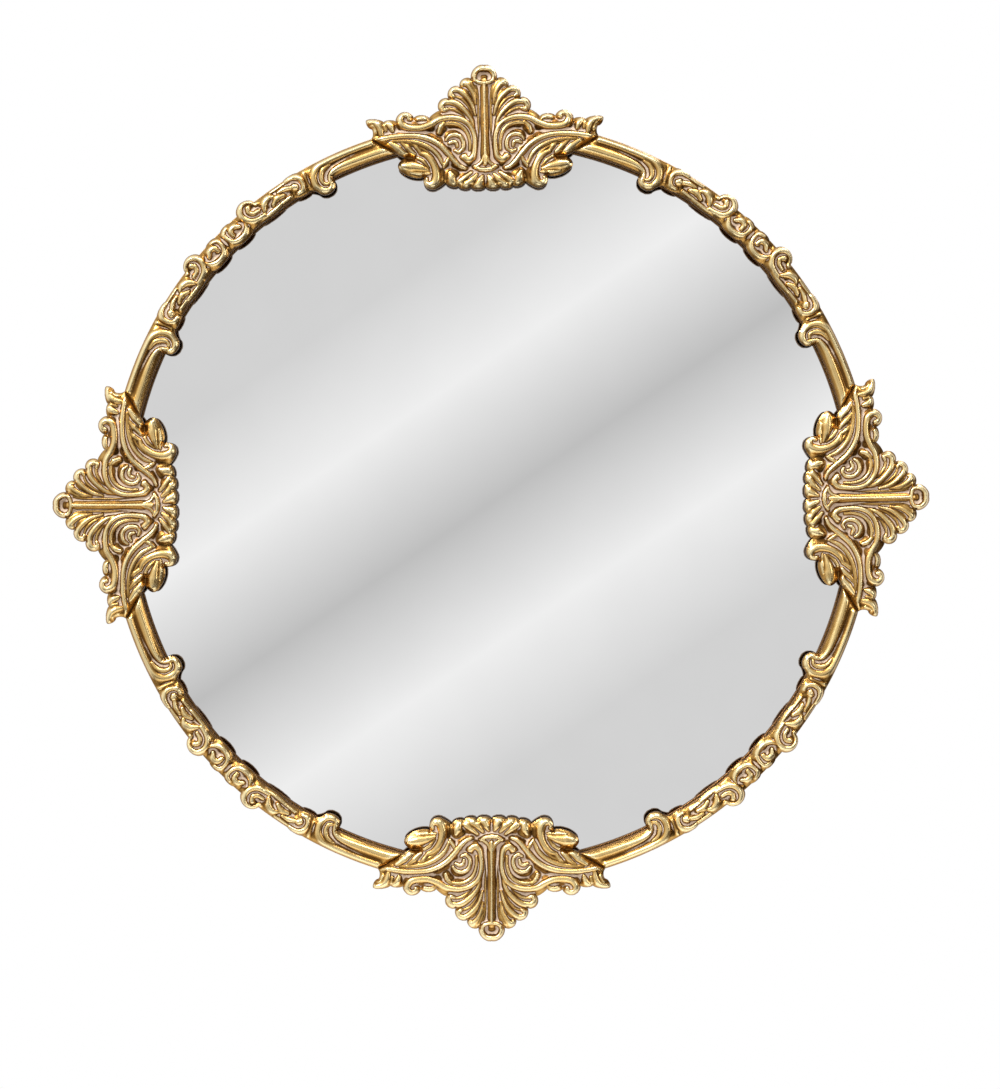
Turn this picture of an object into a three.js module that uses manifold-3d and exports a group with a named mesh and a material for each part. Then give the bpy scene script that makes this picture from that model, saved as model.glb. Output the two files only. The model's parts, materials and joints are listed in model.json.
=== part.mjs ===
// Round convex wall mirror: a domed glass held in a turned ring, dressed at the front with cast gilt
// mouldings and four carved cartouches, and closed at the back by a screwed panel with two D-ring hangers.
//
// Everything is modelled on the bench, face up: x to the right, y towards the top of the mirror and z
// out of the glass, in millimetres, with z = 0 on the panel's back. The last lines stand it upright.
import * as THREE from "three";
import { mergeVertices } from "three/addons/utils/BufferGeometryUtils.js";
import Module from "manifold-3d";

const wasm = await Module();
wasm.setup();

// ---------------------------------------------------------------- driving dimensions, millimetres
const SEAM = 0.3; // glue line, or room, between two seated pieces

const GLASS_RADIUS = 305;
const GLASS_THICKNESS = 4;
const GLASS_RISE = 20; // height of the dome above its rim
const GLASS_PLAY = 1.4; // room round the glass in the ring

const REBATE = 5; // how far the ring's lip reaches over the glass
const RING_WALL = 12; // outside the glass
const LIP_CHAMFER = 1.2;
const CASTING_OVER_GLASS = 1.7; // room between the cartouches and the dome

const PANEL_THICKNESS = 9;
const PANEL_INSET = 2.4; // how far the panel's edge stays inside the ring's
const CUSHION_DEPTH = 4.7; // foam between the panel and the glass's rim
const CUSHION_WIDTH = 12;
const PAD_DEPTH = 6.4; // felt pads that stand the mirror off the wall
const PAD_RADIUS = 11;
const PAD_INSET = 31; // from the panel's edge to each pad's centre

const PANEL_SCREWS = 8;
const SHANK_RADIUS = 1.7;
const HEAD_RADIUS = 3.6;
const HEAD_HEIGHT = 2.3;
const PANEL_SCREW_BITE = 8; // length in the ring
const HANGER_SCREW_BITE = 7; // length in the panel

const HANGER_INSET = 48; // from the panel's edge to the middle of each D-ring's bar
const HANGER_ANGLE = 56; // degrees above the mirror's middle
const STRAP_WIDTH = 14;
const STRAP_SHEET = 1; // the strap is folded double
const STRAP_SCREW_COUNT = 2;
const STRAP_SCREW_SPACING = 10;
const STRAP_MARGIN = 2; // from a screw's head to the D-ring above it and to the strap's lower end
const WIRE_RADIUS = 1.25;
const BAR_PLAY = 0.3; // room round the D-ring's bar in the strap's fold
const D_WIDTH = 25; // between the centres of the D-ring's sides
const D_DROP = 19; // from the bar to the foot of the D

const MOULDING_PLATE = 2.6; // thickness of the ring mouldings' ground
const CARTOUCHE_PLATE = 3.2; // thickness of the cartouches' ground
const MOULDING_INSET = 0.8; // how far the mouldings stay inside the ring's edges
const CARTOUCHE_HALF_WIDTH = 84.5; // of a cartouche's end, along the ring's middle line
const CARTOUCHE_END_SLOPE = 0.92; // how much wider that end is for each millimetre outwards
const CASTING_JOINT = 0.8; // room along the ring between a cartouche and a moulding
const CARTOUCHE_TOP = 54.5; // height of a cartouche over the ring's middle line
const CARTOUCHE_REACH = 49.5; // how far a cartouche reaches inwards from the ring's middle line

// The cartouches were set by hand: degrees past right, top, left and bottom, anticlockwise.
const CARTOUCHES = [
  { side: "right", angle: 0.8 },
  { side: "top", angle: 90.95 },
  { side: "left", angle: 180.3 },
  { side: "bottom", angle: 270.1 },
];

// Flats round each turned or bent piece.
const SIDES = { ring: 72, glass: 64, panel: 64, cushion: 56, pad: 14, cap: 14, screw: 8, drill: 6 };

// ---------------------------------------------------------------- worked-out places
const onCircle = (radius, angle) => [radius * Math.cos(angle), radius * Math.sin(angle)];
const radians = (degrees) => (degrees * Math.PI) / 180;

const BORE_RADIUS = GLASS_RADIUS + GLASS_PLAY;
const RING_RADIUS = BORE_RADIUS + RING_WALL; // outer edge of the ring
const SIGHT_RADIUS = GLASS_RADIUS - REBATE; // inner edge of the ring's lip
const PITCH = (SIGHT_RADIUS + RING_RADIUS) / 2; // the ring's middle line
const PANEL_RADIUS = RING_RADIUS - PANEL_INSET;
const SCREW_CIRCLE = (BORE_RADIUS + RING_RADIUS) / 2;
const DOME_RADIUS = (GLASS_RADIUS ** 2 + GLASS_RISE ** 2) / (2 * GLASS_RISE);
const domeHeight = (r) => Math.sqrt(DOME_RADIUS ** 2 - r ** 2) - (DOME_RADIUS - GLASS_RISE);

const PANEL_FRONT = PANEL_THICKNESS; // the panel's back is at zero
const RING_BACK = PANEL_FRONT + SEAM;
const GLASS_BACK = PANEL_FRONT + CUSHION_DEPTH + 2 * SEAM;
const GLASS_FRONT = GLASS_BACK + GLASS_THICKNESS; // at its rim
const LIP_BACK = GLASS_FRONT + domeHeight(SIGHT_RADIUS) + SEAM;
const CASTING_BACK = GLASS_FRONT + domeHeight(PITCH - CARTOUCHE_REACH) + CASTING_OVER_GLASS;
const RING_FRONT = CASTING_BACK - SEAM;
const [HANGER_SPREAD, HANGER_LEVEL] = onCircle(PANEL_RADIUS - HANGER_INSET, radians(HANGER_ANGLE));

// how far the hangers' screws, and the strap's lower end, lie below the bar
const STRAP_SCREWS = Array.from(
  { length: STRAP_SCREW_COUNT },
  (_, i) => D_DROP + WIRE_RADIUS + STRAP_MARGIN + HEAD_RADIUS + i * STRAP_SCREW_SPACING,
);
const STRAP_LENGTH = STRAP_SCREWS.at(-1) + HEAD_RADIUS + STRAP_MARGIN;

// ---------------------------------------------------------------- finishes
const finish = (color, roughness, metalness) =>
  new THREE.MeshStandardMaterial({ color, roughness, metalness });
const GILT = finish("#b98d3f", 0.38, 0.9);
const RING_GILT = finish("#9c7434", 0.5, 0.75);
const MIRROR = finish("#e4e6e6", 0.03, 1);
const FOAM = finish("#2c2c2c", 0.95, 0);
const PANEL_PAINT = finish("#231d19", 0.8, 0);
const FELT = finish("#3a3430", 1, 0);
const ZINC = finish("#b9bcbe", 0.35, 1);
const BRASS = finish("#b8954c", 0.35, 1);

// ---------------------------------------------------------------- solids
const SHORTEST_EDGE = 0.06; // a shorter one left by a cut is closed up

function solid(geometry) {
  const bare = geometry.clone();
  bare.deleteAttribute("normal");
  bare.deleteAttribute("uv");
  const merged = mergeVertices(bare, 1e-4);
  return new wasm.Manifold(
    new wasm.Mesh({
      numProp: 3,
      vertProperties: merged.attributes.position.array,
      triVerts: new Uint32Array(merged.index.array),
      tolerance: SHORTEST_EDGE,
    }),
  );
}

function geometryOf(body) {
  const made = body.getMesh();
  return new THREE.BufferGeometry()
    .setAttribute("position", new THREE.BufferAttribute(made.vertProperties, 3))
    .setIndex(new THREE.BufferAttribute(made.triVerts, 1));
}

const joined = (bodies) => geometryOf(bodies.reduce((whole, next) => whole.add(next)));

function drilled(geometry, drills) {
  return geometryOf(drills.reduce((whole, drill) => whole.subtract(solid(drill)), solid(geometry)));
}

const mirror = new THREE.Group();

function piece(name, geometry, material, place = [0, 0, 0], turn = 0) {
  const mesh = new THREE.Mesh(geometry, material);
  mesh.name = name;
  mesh.position.set(...place);
  mesh.rotation.z = turn;
  mirror.add(mesh);
  return mesh;
}

// A ring, disc or dome: a closed (radius, height) profile turned about z.
function turned(profile, segments) {
  const points = profile.map(([r, z]) => new THREE.Vector2(r, z));
  return new THREE.LatheGeometry(points, segments).rotateX(Math.PI / 2);
}

// A post along z, from z = from to z = to.
function post(radius, from, to, x = 0, y = 0, sides = SIDES.drill) {
  const body = new THREE.CylinderGeometry(radius, radius, to - from, sides).rotateX(Math.PI / 2);
  return body.translate(x, y, (from + to) / 2);
}

// ---------------------------------------------------------------- carving
// A plate's outline is a chain of arcs: each stop is [across, up, rise], where rise is how far the arc
// that arrives there bulges to the left of its chord. place turns a drawn point into one on the bench.
const STRAIGHT_STEP = 24; // longest piece of a stop without a rise
const ARC_STEP = 9; // longest piece of a shallow arc
const RISE_STEPS = 0.7; // pieces added for each millimetre of an arc's rise

function outline(start, stops, place) {
  const points = [place(...start)];
  let [x0, y0] = start;
  for (const [x1, y1, rise] of stops) {
    const chord = Math.hypot(x1 - x0, y1 - y0);
    const straight = Math.max(1, Math.round(chord / STRAIGHT_STEP));
    const steps = rise ? Math.max(2, Math.round(chord / ARC_STEP + Math.abs(rise) * RISE_STEPS)) : straight;
    for (let i = 1; i <= steps; i++) {
      const t = i / steps;
      const swell = (4 * t * (1 - t) * rise) / chord;
      points.push(place(x0 + (x1 - x0) * t - (y1 - y0) * swell, y0 + (y1 - y0) * t + (x1 - x0) * swell));
    }
    [x0, y0] = [x1, y1];
  }
  return points;
}

function plate(points, back, thickness) {
  const shape = new THREE.Shape(points.map(([x, y]) => new THREE.Vector2(x, y)));
  return new THREE.ExtrudeGeometry(shape, { depth: thickness, bevelEnabled: false }).translate(0, 0, back);
}

// The value at t of a list spread evenly from 0 to 1, or of one number.
function along(values, t) {
  const list = Array.isArray(values) ? values : [values, values];
  const at = t * (list.length - 1);
  const i = Math.min(Math.floor(at), list.length - 2);
  return list[i] + (list[i + 1] - list[i]) * (at - i);
}

const ROOT = 1.2; // how deep a rib is let into its plate
const LONGEST_STEP = 20; // between two sections of a rib, where it runs straight
const SHARPEST_TURN = 1; // radians between two sections of a rib, where it bends
const FINE_STEPS = 60; // pieces that a line's bends are measured on
const BEND_SHARE = 0.85; // of a bend's radius, the most that a rib's half width takes

// Where a rib's sections go: its bends get more than its straights. Each is a share of the line's length
// with the radius of the bend there.
function sections(curve) {
  const points = curve.getSpacedPoints(FINE_STEPS);
  const length = curve.getLength() / FINE_STEPS;
  const bends = points.map((_, i) => {
    const at = Math.min(Math.max(i, 1), FINE_STEPS - 1);
    return points[at].clone().sub(points[at - 1]).angleTo(points[at + 1].clone().sub(points[at]));
  });
  const effort = [0];
  for (const bend of bends.slice(1)) {
    effort.push(effort.at(-1) + length / LONGEST_STEP + bend / SHARPEST_TURN);
  }
  const count = Math.max(1, Math.round(effort.at(-1)));
  return Array.from({ length: count + 1 }, (_, k) => {
    const i = effort.findIndex((value) => value >= (effort.at(-1) * k) / count - 1e-9);
    return { t: i / FINE_STEPS, radius: length / Math.max(bends[i], 1e-3) };
  });
}

// A ridge-backed rib that follows a line: half is its half width and crest its height, each one number
// or a list along the line. place turns the drawn line into one on the bench.
function rib({ line, half, crest }, ground, place) {
  const curve = new THREE.CatmullRomCurve3(
    line.map(([x, y]) => new THREE.Vector3(...place(x, y), 0)),
    false,
    "centripetal",
  );
  const vertices = [];
  const stops = sections(curve);
  for (const { t, radius } of stops) {
    const at = curve.getPointAt(t);
    const ahead = curve.getTangentAt(t);
    const w = Math.min(along(half, t), BEND_SHARE * radius);
    vertices.push(at.x - ahead.y * w, at.y + ahead.x * w, ground - ROOT);
    vertices.push(at.x, at.y, ground + along(crest, t));
    vertices.push(at.x + ahead.y * w, at.y - ahead.x * w, ground - ROOT);
  }
  const last = 3 * (stops.length - 1);
  const faces = [0, 2, 1, last, last + 1, last + 2];
  for (let i = 0; i < last; i += 3) {
    for (let k = 0; k < 3; k++) {
      const [a, b] = [i + k, i + ((k + 1) % 3)];
      faces.push(a, b, a + 3, b, b + 3, a + 3);
    }
  }
  const geometry = new THREE.BufferGeometry();
  geometry.setAttribute("position", new THREE.BufferAttribute(new Float32Array(vertices), 3));
  geometry.setIndex(faces);
  return solid(geometry);
}

// A scroll: a line that winds round a centre while its radius goes from one value to another.
function scroll([x, y], radii, degrees, points) {
  return Array.from({ length: points }, (_, i) => {
    const t = i / (points - 1);
    const [dx, dy] = onCircle(along(radii, t), radians(along(degrees, t)));
    return [x + dx, y + dy];
  });
}

// ---------------------------------------------------------------- cartouches
// Drawn upright, across and up from the point where its centre line meets the ring's middle line.
const cartouchePoint = (x, y) => [x, PITCH + y];

// The arc from a cartouche's centre line to its end, at a height over the ring's middle line.
const cartoucheEnd = (up) => CARTOUCHE_HALF_WIDTH + CARTOUCHE_END_SLOPE * up;

// Where that end crosses one of the ring's edges, in the cartouche's drawing.
function endCrossing(radius) {
  const [up, across] = onCircle(radius, cartoucheEnd(radius - PITCH) / PITCH);
  return [across, up - PITCH];
}
const END_OUTER = endCrossing(RING_RADIUS);
const END_INNER = endCrossing(SIGHT_RADIUS);

const CARTOUCHE_EDGE = [
  [11, 43.5, 3.2], // cap
  [20.2, 36.8, 3.4], // three fronds
  [29.7, 27, 4.4],
  [37.6, 17, 4.2],
  [45.5, 11.5, 0.8],
  [58, 12, 2.2], // shell behind the arm
  [73, 9, 6.2], // the arm's curl
  [84, 8.5, 1.3],
  [98.5, 10, 1.8], // ear
  [95, 4, 1.6],
  [...END_OUTER, -1.2],
  [...END_INNER, 0],
  [59, -23, 1],
  [73, -29.5, 3.4], // bud
  [51.5, -38, 4],
  [40, -47.7, 5.5], // hook
  [33, -42.6, 0.3],
  [23, -46, 1.9], // gadroons
  [12.5, -46.8, 2.4],
  [0, -46.5, 2.9],
];

const CARTOUCHE_HALF = [
  { line: [[7, 22], [9.5, 32], [15, 40]], half: [1.6, 3.2, 4.2], crest: [3, 4.5, 3] },
  {
    line: [[8, 12], [11, 22], [17, 30.5], [24, 34], [28, 31]],
    half: [1.6, 2.6, 3.2, 2.8],
    crest: [3.5, 5, 3.5],
  },
  {
    line: [[8.5, 4], [12.5, 14], [20, 22], [28.5, 25.5], [34, 22], [33.5, 18]],
    half: [1.8, 2.8, 3.2, 2.6],
    crest: [4, 5.5, 4],
  },
  {
    // the arm: a long S with a curl at each end
    line: [
      [18, -24.5], [12.5, -25.5], [8.8, -20], [7.8, -9], [10.5, 1], [18, 8.5], [29, 11],
      [40, 9.5], [48, 5.5], [57, 3.4], [66, 5.5], [69, 10.5], [65.5, 13.5],
    ],
    half: [2.6, 2.4, 2.8, 3, 3.2, 3, 3.2],
    crest: [4, 6, 6.5, 6, 6, 5, 5],
  },
  { line: scroll([25, -9.5], [7.6, 3], [40, 400], 9), half: [1.8, 2.2, 2], crest: [4, 4.5, 5] },
  {
    // the leaf that lies along the ring and sweeps down to the foot
    line: [[90, -6.5], [76, -4], [60, -3.2], [48, -5.5], [38, -12], [30, -21], [24, -27.5], [16, -31.5]],
    half: [1.2, 2.8, 3.6, 4, 4, 3.4, 1.8],
    crest: [3, 5, 6.5, 7, 6.5, 4],
  },
  { line: [[76, -9], [69, -14], [64, -20.5]], half: [1.6, 2.8, 2.4], crest: [3, 4.2, 2.6] },
  {
    // bud
    line: [[46, -31], [52, -30.3], [60, -29.6], [67, -29], [72, -28.8]],
    half: [2, 4.6, 6, 5, 1.6],
    crest: [3.5, 6, 6.8, 5.5, 2.6],
  },
  {
    // hook
    line: [[51, -17], [44.5, -22], [40.5, -30], [39.5, -38.5], [43, -43.5], [48.5, -43]],
    half: [2.2, 3.2, 3.4, 3.6, 4],
    crest: [4, 6, 6.5, 6, 5],
  },
  { line: [[2.6, -35.5], [6.5, -45.5]], half: [1.2, 3.4], crest: [3.4, 4] },
  { line: [[7, -34.5], [16.5, -44.5]], half: [1.2, 3], crest: [3.4, 4] },
  { line: [[29.5, -32], [28.5, -38.5], [27.5, -44]], half: [1.4, 3, 2.4], crest: [3.4, 5, 3] },
  { line: [[87, -1.5], [88, 4.5], [92, 8], [96.5, 7.5]], half: [1.8, 2.6, 2.2], crest: [2.6, 4, 3] },
];

const STEM = {
  line: [[0, -31], [0, 0], [0, 34], [0, 42]],
  half: [5.4, 4, 3.4, 2.2],
  crest: [6, 9, 7.5, 2.4],
};
const FOOT = {
  line: [[-9.5, -27.5], [-6, -32], [0, -33.8], [6, -32], [9.5, -27.5]],
  half: [1.4, 2.4, 1.4],
  crest: [4, 6.5, 4],
};
const CAP_RADIUS = 9.6;
const CAP_LEVEL = 44.4; // of its centre
const CAP_PROFILE = [
  // share of its radius, height
  [0, -ROOT],
  [1, -ROOT],
  [1, 1.2],
  [0.88, 5],
  [0.62, 6.4],
  [0.32, 4.2],
  [0, 3.6],
];

const flipped = ([x, ...rest]) => [-x, ...rest];
const mirrored = (part) => ({ ...part, line: part.line.map(flipped) });

function cartouche() {
  const half = outline([0, CARTOUCHE_TOP], CARTOUCHE_EDGE, cartouchePoint);
  const edge = [...half, ...half.slice(1, -1).reverse().map(flipped)].reverse();
  const ground = CASTING_BACK + CARTOUCHE_PLATE;
  const cap = turned(CAP_PROFILE.map(([share, z]) => [share * CAP_RADIUS, z]), SIDES.cap);
  const ribs = [STEM, FOOT, ...CARTOUCHE_HALF, ...CARTOUCHE_HALF.map(mirrored)];
  return joined([
    solid(plate(edge, CASTING_BACK, CARTOUCHE_PLATE)),
    solid(cap.translate(...cartouchePoint(0, CAP_LEVEL), ground)),
    ...ribs.map((part) => rib(part, ground, cartouchePoint)),
  ]);
}

// ---------------------------------------------------------------- ring mouldings
// Drawn along the ring's middle line from the middle of the moulding, and up from that line.
const mouldingPoint = (along, up) => onCircle(PITCH + up, Math.PI / 2 - along / PITCH);
const TOP_EDGE = RING_RADIUS - MOULDING_INSET - PITCH;
const FOOT_EDGE = SIGHT_RADIUS + MOULDING_INSET - PITCH;
const OUTER_REED = TOP_EDGE - 3.8;
const INNER_REED = FOOT_EDGE + 4;
const OUTER_REED_START = 108; // where the straight of each reed begins
const INNER_REED_START = 112;
const OUTER_REED_TAIL = 1.5; // how far short of the moulding's end each reed stops
const INNER_REED_TAIL = 8;

// One half of a moulding, with reach the arc from its middle to the next cartouche's centre line.
function mouldingHalf(reach) {
  const outerEnd = reach - cartoucheEnd(TOP_EDGE) - CASTING_JOINT;
  const innerEnd = reach - cartoucheEnd(FOOT_EDGE) - CASTING_JOINT;
  const edge = [
    [22, TOP_EDGE, 0],
    [40, TOP_EDGE, 6.4], // ball scroll
    [outerEnd, TOP_EDGE, 0],
    [innerEnd, FOOT_EDGE, 0],
    [106.5, FOOT_EDGE, 0],
    [106, -14.5, 0.8], // volute
    [90, -15.2, 4.6],
    [84, -9.6, -0.6],
    [71, FOOT_EDGE, 1.4], // shell
    [24.5, FOOT_EDGE, 0],
    [3.5, FOOT_EDGE, 2.6], // cup
    [0, FOOT_EDGE, 0],
  ];
  const outerTail = outerEnd - OUTER_REED_TAIL;
  const innerTail = innerEnd - INNER_REED_TAIL;
  const parts = [
    {
      // outer reed, which ends in the volute
      line: [
        [outerTail, OUTER_REED],
        [(outerEnd + OUTER_REED_START) / 2, OUTER_REED],
        [OUTER_REED_START, OUTER_REED],
        [98, 3.8], [91.5, -1.5], [90.2, -8], [93, -14], [98.5, -16.4], [103.5, -14],
      ],
      half: [2.6, 2.6, 2.6, 2.8, 2.8, 2.6, 2.4],
      crest: [3.2, 3.2, 3.4, 4.6, 5, 4.6, 4],
    },
    {
      // inner reed
      line: [
        [innerTail, INNER_REED],
        [(innerEnd + INNER_REED_START) / 2, INNER_REED],
        [INNER_REED_START, INNER_REED],
        [105, -6], [102, -10.5],
      ],
      half: [2.8, 2.8, 2.6, 1.6],
      crest: [3, 3, 3.6, 3],
    },
    {
      // shell
      line: [[54, 6], [62, 4.8], [70, 6.2], [78, 5.4], [82, 0.5], [80.5, -5]],
      half: [1.4, 1.8, 2.2, 2],
      crest: [3, 4.4, 3.6],
    },
    { line: [[71.5, -3.4], [76.5, -4.4]], half: 3.6, crest: 4.6 },
    { line: [[50, 5], [44.5, 3.5], [44, -1.5]], half: [1.4, 2.6, 1.6], crest: [2.6, 4, 2.6] },
    {
      // ball scroll
      line: [[38.5, 4], ...scroll([31, 5], [6.8, 6.8], [50, 230], 4), [34, -4], [41, -5.6]],
      half: [2, 2.6, 2.6, 1.8],
      crest: [4.4, 5.6, 4.4, 3],
    },
    { line: [[31.5, 3], [36, 2.4]], half: 2.2, crest: 3.8 },
    {
      // cup
      line: [[8, 6], [4.6, 1.5], [6.5, -4], [13, -7], [19.5, -5.6], [23.5, -2]],
      half: [1.6, 2.2, 2.6, 1.4],
      crest: [3.4, 4.4, 4.4, 3],
    },
  ];
  return { edge, parts };
}

function moulding(reach) {
  const { edge, parts } = mouldingHalf(reach);
  const half = outline([0, TOP_EDGE], edge, mouldingPoint);
  const ring = [...half, ...half.slice(1, -1).reverse().map(flipped)].reverse();
  const ground = CASTING_BACK + MOULDING_PLATE;
  return joined([
    solid(plate(ring, CASTING_BACK, MOULDING_PLATE)),
    ...[...parts, ...parts.map(mirrored)].map((part) => rib(part, ground, mouldingPoint)),
  ]);
}

CARTOUCHES.forEach(({ side, angle }, i) => {
  piece(`cartouche_${side}`, cartouche(), GILT, [0, 0, 0], radians(angle - 90));
  const next = CARTOUCHES[(i + 1) % CARTOUCHES.length];
  const gap = radians((next.angle - angle + 360) % 360);
  const turn = radians(angle) + gap / 2 - Math.PI / 2;
  piece(`ring_moulding_${side}_to_${next.side}`, moulding((gap / 2) * PITCH), GILT, [0, 0, 0], turn);
});

// ---------------------------------------------------------------- ring, glass, cushion and panel
const screwAngles = Array.from({ length: PANEL_SCREWS }, (_, i) => ((i + 0.5) * 2 * Math.PI) / PANEL_SCREWS);
const HOLE_RADIUS = SHANK_RADIUS + SEAM;

const ringBody = turned(
  [
    [BORE_RADIUS, RING_BACK],
    [RING_RADIUS, RING_BACK],
    [RING_RADIUS, RING_FRONT],
    [SIGHT_RADIUS + LIP_CHAMFER, RING_FRONT],
    [SIGHT_RADIUS, RING_FRONT - LIP_CHAMFER],
    [SIGHT_RADIUS, LIP_BACK],
    [BORE_RADIUS, LIP_BACK],
    [BORE_RADIUS, RING_BACK],
  ],
  SIDES.ring,
);
const screwDepth = PANEL_FRONT + PANEL_SCREW_BITE + SEAM;

piece(
  "frame_ring",
  drilled(
    ringBody,
    screwAngles.map((a) => post(HOLE_RADIUS, RING_BACK - 1, screwDepth, ...onCircle(SCREW_CIRCLE, a))),
  ),
  RING_GILT,
);

const DOME_RINGS = [0, 0.5, 0.8, 1]; // shares of the glass's radius
const domeRadii = DOME_RINGS.map((share) => share * GLASS_RADIUS);
const domeLine = (base) => domeRadii.map((r) => [r, base + domeHeight(r)]);
const glassBody = turned([...domeLine(GLASS_BACK), ...domeLine(GLASS_FRONT).reverse()], SIDES.glass);
piece("mirror_glass", glassBody, MIRROR);

const cushionInner = GLASS_RADIUS - CUSHION_WIDTH;
const cushionBack = PANEL_FRONT + SEAM;
const cushionFront = cushionBack + CUSHION_DEPTH;
const cushionBody = turned(
  [
    [cushionInner, cushionBack],
    [GLASS_RADIUS, cushionBack],
    [GLASS_RADIUS, cushionFront],
    [cushionInner, cushionFront],
    [cushionInner, cushionBack],
  ],
  SIDES.cushion,
);
piece("glass_cushion", cushionBody, FOAM);

const hangers = [
  { side: "left", x: -HANGER_SPREAD },
  { side: "right", x: HANGER_SPREAD },
];
const strapScrewHoles = hangers.flatMap(({ x }) =>
  STRAP_SCREWS.map((below) => post(HOLE_RADIUS, -1, HANGER_SCREW_BITE + SEAM, x, HANGER_LEVEL - below)),
);
const panelHoles = screwAngles.map((a) =>
  post(HOLE_RADIUS, -1, PANEL_FRONT + 1, ...onCircle(SCREW_CIRCLE, a)),
);
const panelLine = [[0, 0], [PANEL_RADIUS, 0], [PANEL_RADIUS, PANEL_FRONT], [0, PANEL_FRONT]];
const panelBlank = turned(panelLine, SIDES.panel);
piece("back_panel", drilled(panelBlank, [...panelHoles, ...strapScrewHoles]), PANEL_PAINT);

// ---------------------------------------------------------------- screws and pads
const CROWN_SHARE = 0.6; // of a screw head's radius, the flat on its top
const BRIM_SHARE = 0.4; // of a screw head's height, its upright edge

// A pan-headed screw whose head bears on z = 0 and whose shank runs to z = length.
function screw(length) {
  const shape = [
    [0, -HEAD_HEIGHT],
    [HEAD_RADIUS * CROWN_SHARE, -HEAD_HEIGHT],
    [HEAD_RADIUS, -HEAD_HEIGHT * BRIM_SHARE],
    [HEAD_RADIUS, 0],
    [SHANK_RADIUS, 0],
    [SHANK_RADIUS, length - SHANK_RADIUS],
    [0, length],
  ];
  return turned(shape, SIDES.screw);
}

screwAngles.forEach((a, i) => {
  const length = SEAM + PANEL_THICKNESS + PANEL_SCREW_BITE;
  piece(`panel_screw_${i + 1}`, screw(length), BRASS, [...onCircle(SCREW_CIRCLE, a), -SEAM]);
});

for (const [i, name] of ["top_right", "top_left", "bottom_left", "bottom_right"].entries()) {
  const [x, y] = onCircle(PANEL_RADIUS - PAD_INSET, radians(45 + 90 * i));
  piece(`wall_pad_${name}`, post(PAD_RADIUS, -SEAM - PAD_DEPTH, -SEAM, x, y, SIDES.pad), FELT);
}

// ---------------------------------------------------------------- D-ring hangers
const FOLD_INNER = WIRE_RADIUS + BAR_PLAY;
const FOLD_OUTER = FOLD_INNER + STRAP_SHEET;
const STRAP_BASE = -SEAM; // the strap's face against the panel
const BAR_LEVEL = STRAP_BASE - FOLD_OUTER;
const STRAP_FACE = STRAP_BASE - 2 * STRAP_SHEET; // the folded strap's face towards the wall
const FOLD_MOUTH = FOLD_OUTER * 2.2; // how far below the bar the two layers meet
const FOLD_END = radians(-144); // where the fold's round ends, on its wall side
const FOLD_SIDES = 12;

// Side view of the strap, along y from the bar and in z: two layers pressed flat, open round the bar.
function strap(x) {
  const side = new THREE.Shape();
  side.moveTo(-STRAP_LENGTH, STRAP_FACE);
  side.lineTo(-FOLD_MOUTH, STRAP_FACE);
  side.absarc(0, BAR_LEVEL, FOLD_OUTER, FOLD_END, Math.PI / 2, false);
  side.lineTo(-STRAP_LENGTH, STRAP_BASE);
  side.closePath();
  const fold = new THREE.Path();
  fold.absarc(0, BAR_LEVEL, FOLD_INNER / Math.cos(Math.PI / FOLD_SIDES), 0, 2 * Math.PI, true);
  side.holes.push(fold);
  const cut = { depth: STRAP_WIDTH, bevelEnabled: false, curveSegments: FOLD_SIDES / 2 };
  const body = new THREE.ExtrudeGeometry(side, cut);
  body.translate(0, 0, x - STRAP_WIDTH / 2);
  // the drawing's across, up and depth become the bench's y, z and x
  const onBench = new THREE.Matrix4().makeBasis(
    new THREE.Vector3(0, 1, 0),
    new THREE.Vector3(0, 0, 1),
    new THREE.Vector3(1, 0, 0),
  );
  body.applyMatrix4(onBench).translate(0, HANGER_LEVEL, 0);
  const hole = (below) => post(HOLE_RADIUS, STRAP_FACE - 1, STRAP_BASE + 1, x, HANGER_LEVEL - below);
  return drilled(body, STRAP_SCREWS.map(hole));
}

const BOW_BENDS = 14; // straight pieces in the D's bow
const BOW_FULLNESS = 0.75; // 1 would make the bow half an ellipse, and less fills out its shoulders

// The D's centre line: bent wire whose ends meet inside the strap's fold, with a round bow below.
function bentWire() {
  const half = D_WIDTH / 2;
  const line = [[SEAM, 0]];
  for (let i = 0; i <= BOW_BENDS; i++) {
    const [x, y] = onCircle(1, (Math.PI * i) / BOW_BENDS);
    line.push([half * Math.sign(x) * Math.abs(x) ** BOW_FULLNESS, -D_DROP * y ** BOW_FULLNESS]);
  }
  line.push([-SEAM, 0]);
  const corners = line.map(([x, y]) => new THREE.Vector3(x, y, 0));
  const path = new THREE.CurvePath();
  corners.slice(1).forEach((corner, i) => path.add(new THREE.LineCurve3(corners[i], corner)));
  return path;
}

const D_SECTIONS = 20; // along the wire
const WIRE_SIDES = 6;

function dRing() {
  const section = new THREE.Shape().absarc(0, 0, WIRE_RADIUS, 0, 2 * Math.PI, false);
  const bend = { steps: D_SECTIONS, extrudePath: bentWire(), curveSegments: WIRE_SIDES / 2 };
  return new THREE.ExtrudeGeometry(section, bend);
}

// At rest the D hangs, its foot leaning on the strap.
const D_LEAN = Math.asin((BAR_LEVEL - (STRAP_FACE - WIRE_RADIUS - SEAM)) / D_DROP);

for (const { side, x } of hangers) {
  piece(`hanger_strap_${side}`, strap(x), ZINC);
  const ring = piece(`hanger_ring_${side}`, dRing(), ZINC, [x, HANGER_LEVEL, BAR_LEVEL]);
  ring.rotation.set(D_LEAN, 0, 0);
  STRAP_SCREWS.forEach((below, i) => {
    const seat = STRAP_FACE - SEAM;
    const name = `hanger_screw_${side}_${i + 1}`;
    piece(name, screw(HANGER_SCREW_BITE - seat), ZINC, [x, HANGER_LEVEL - below, seat]);
  });
}

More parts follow.
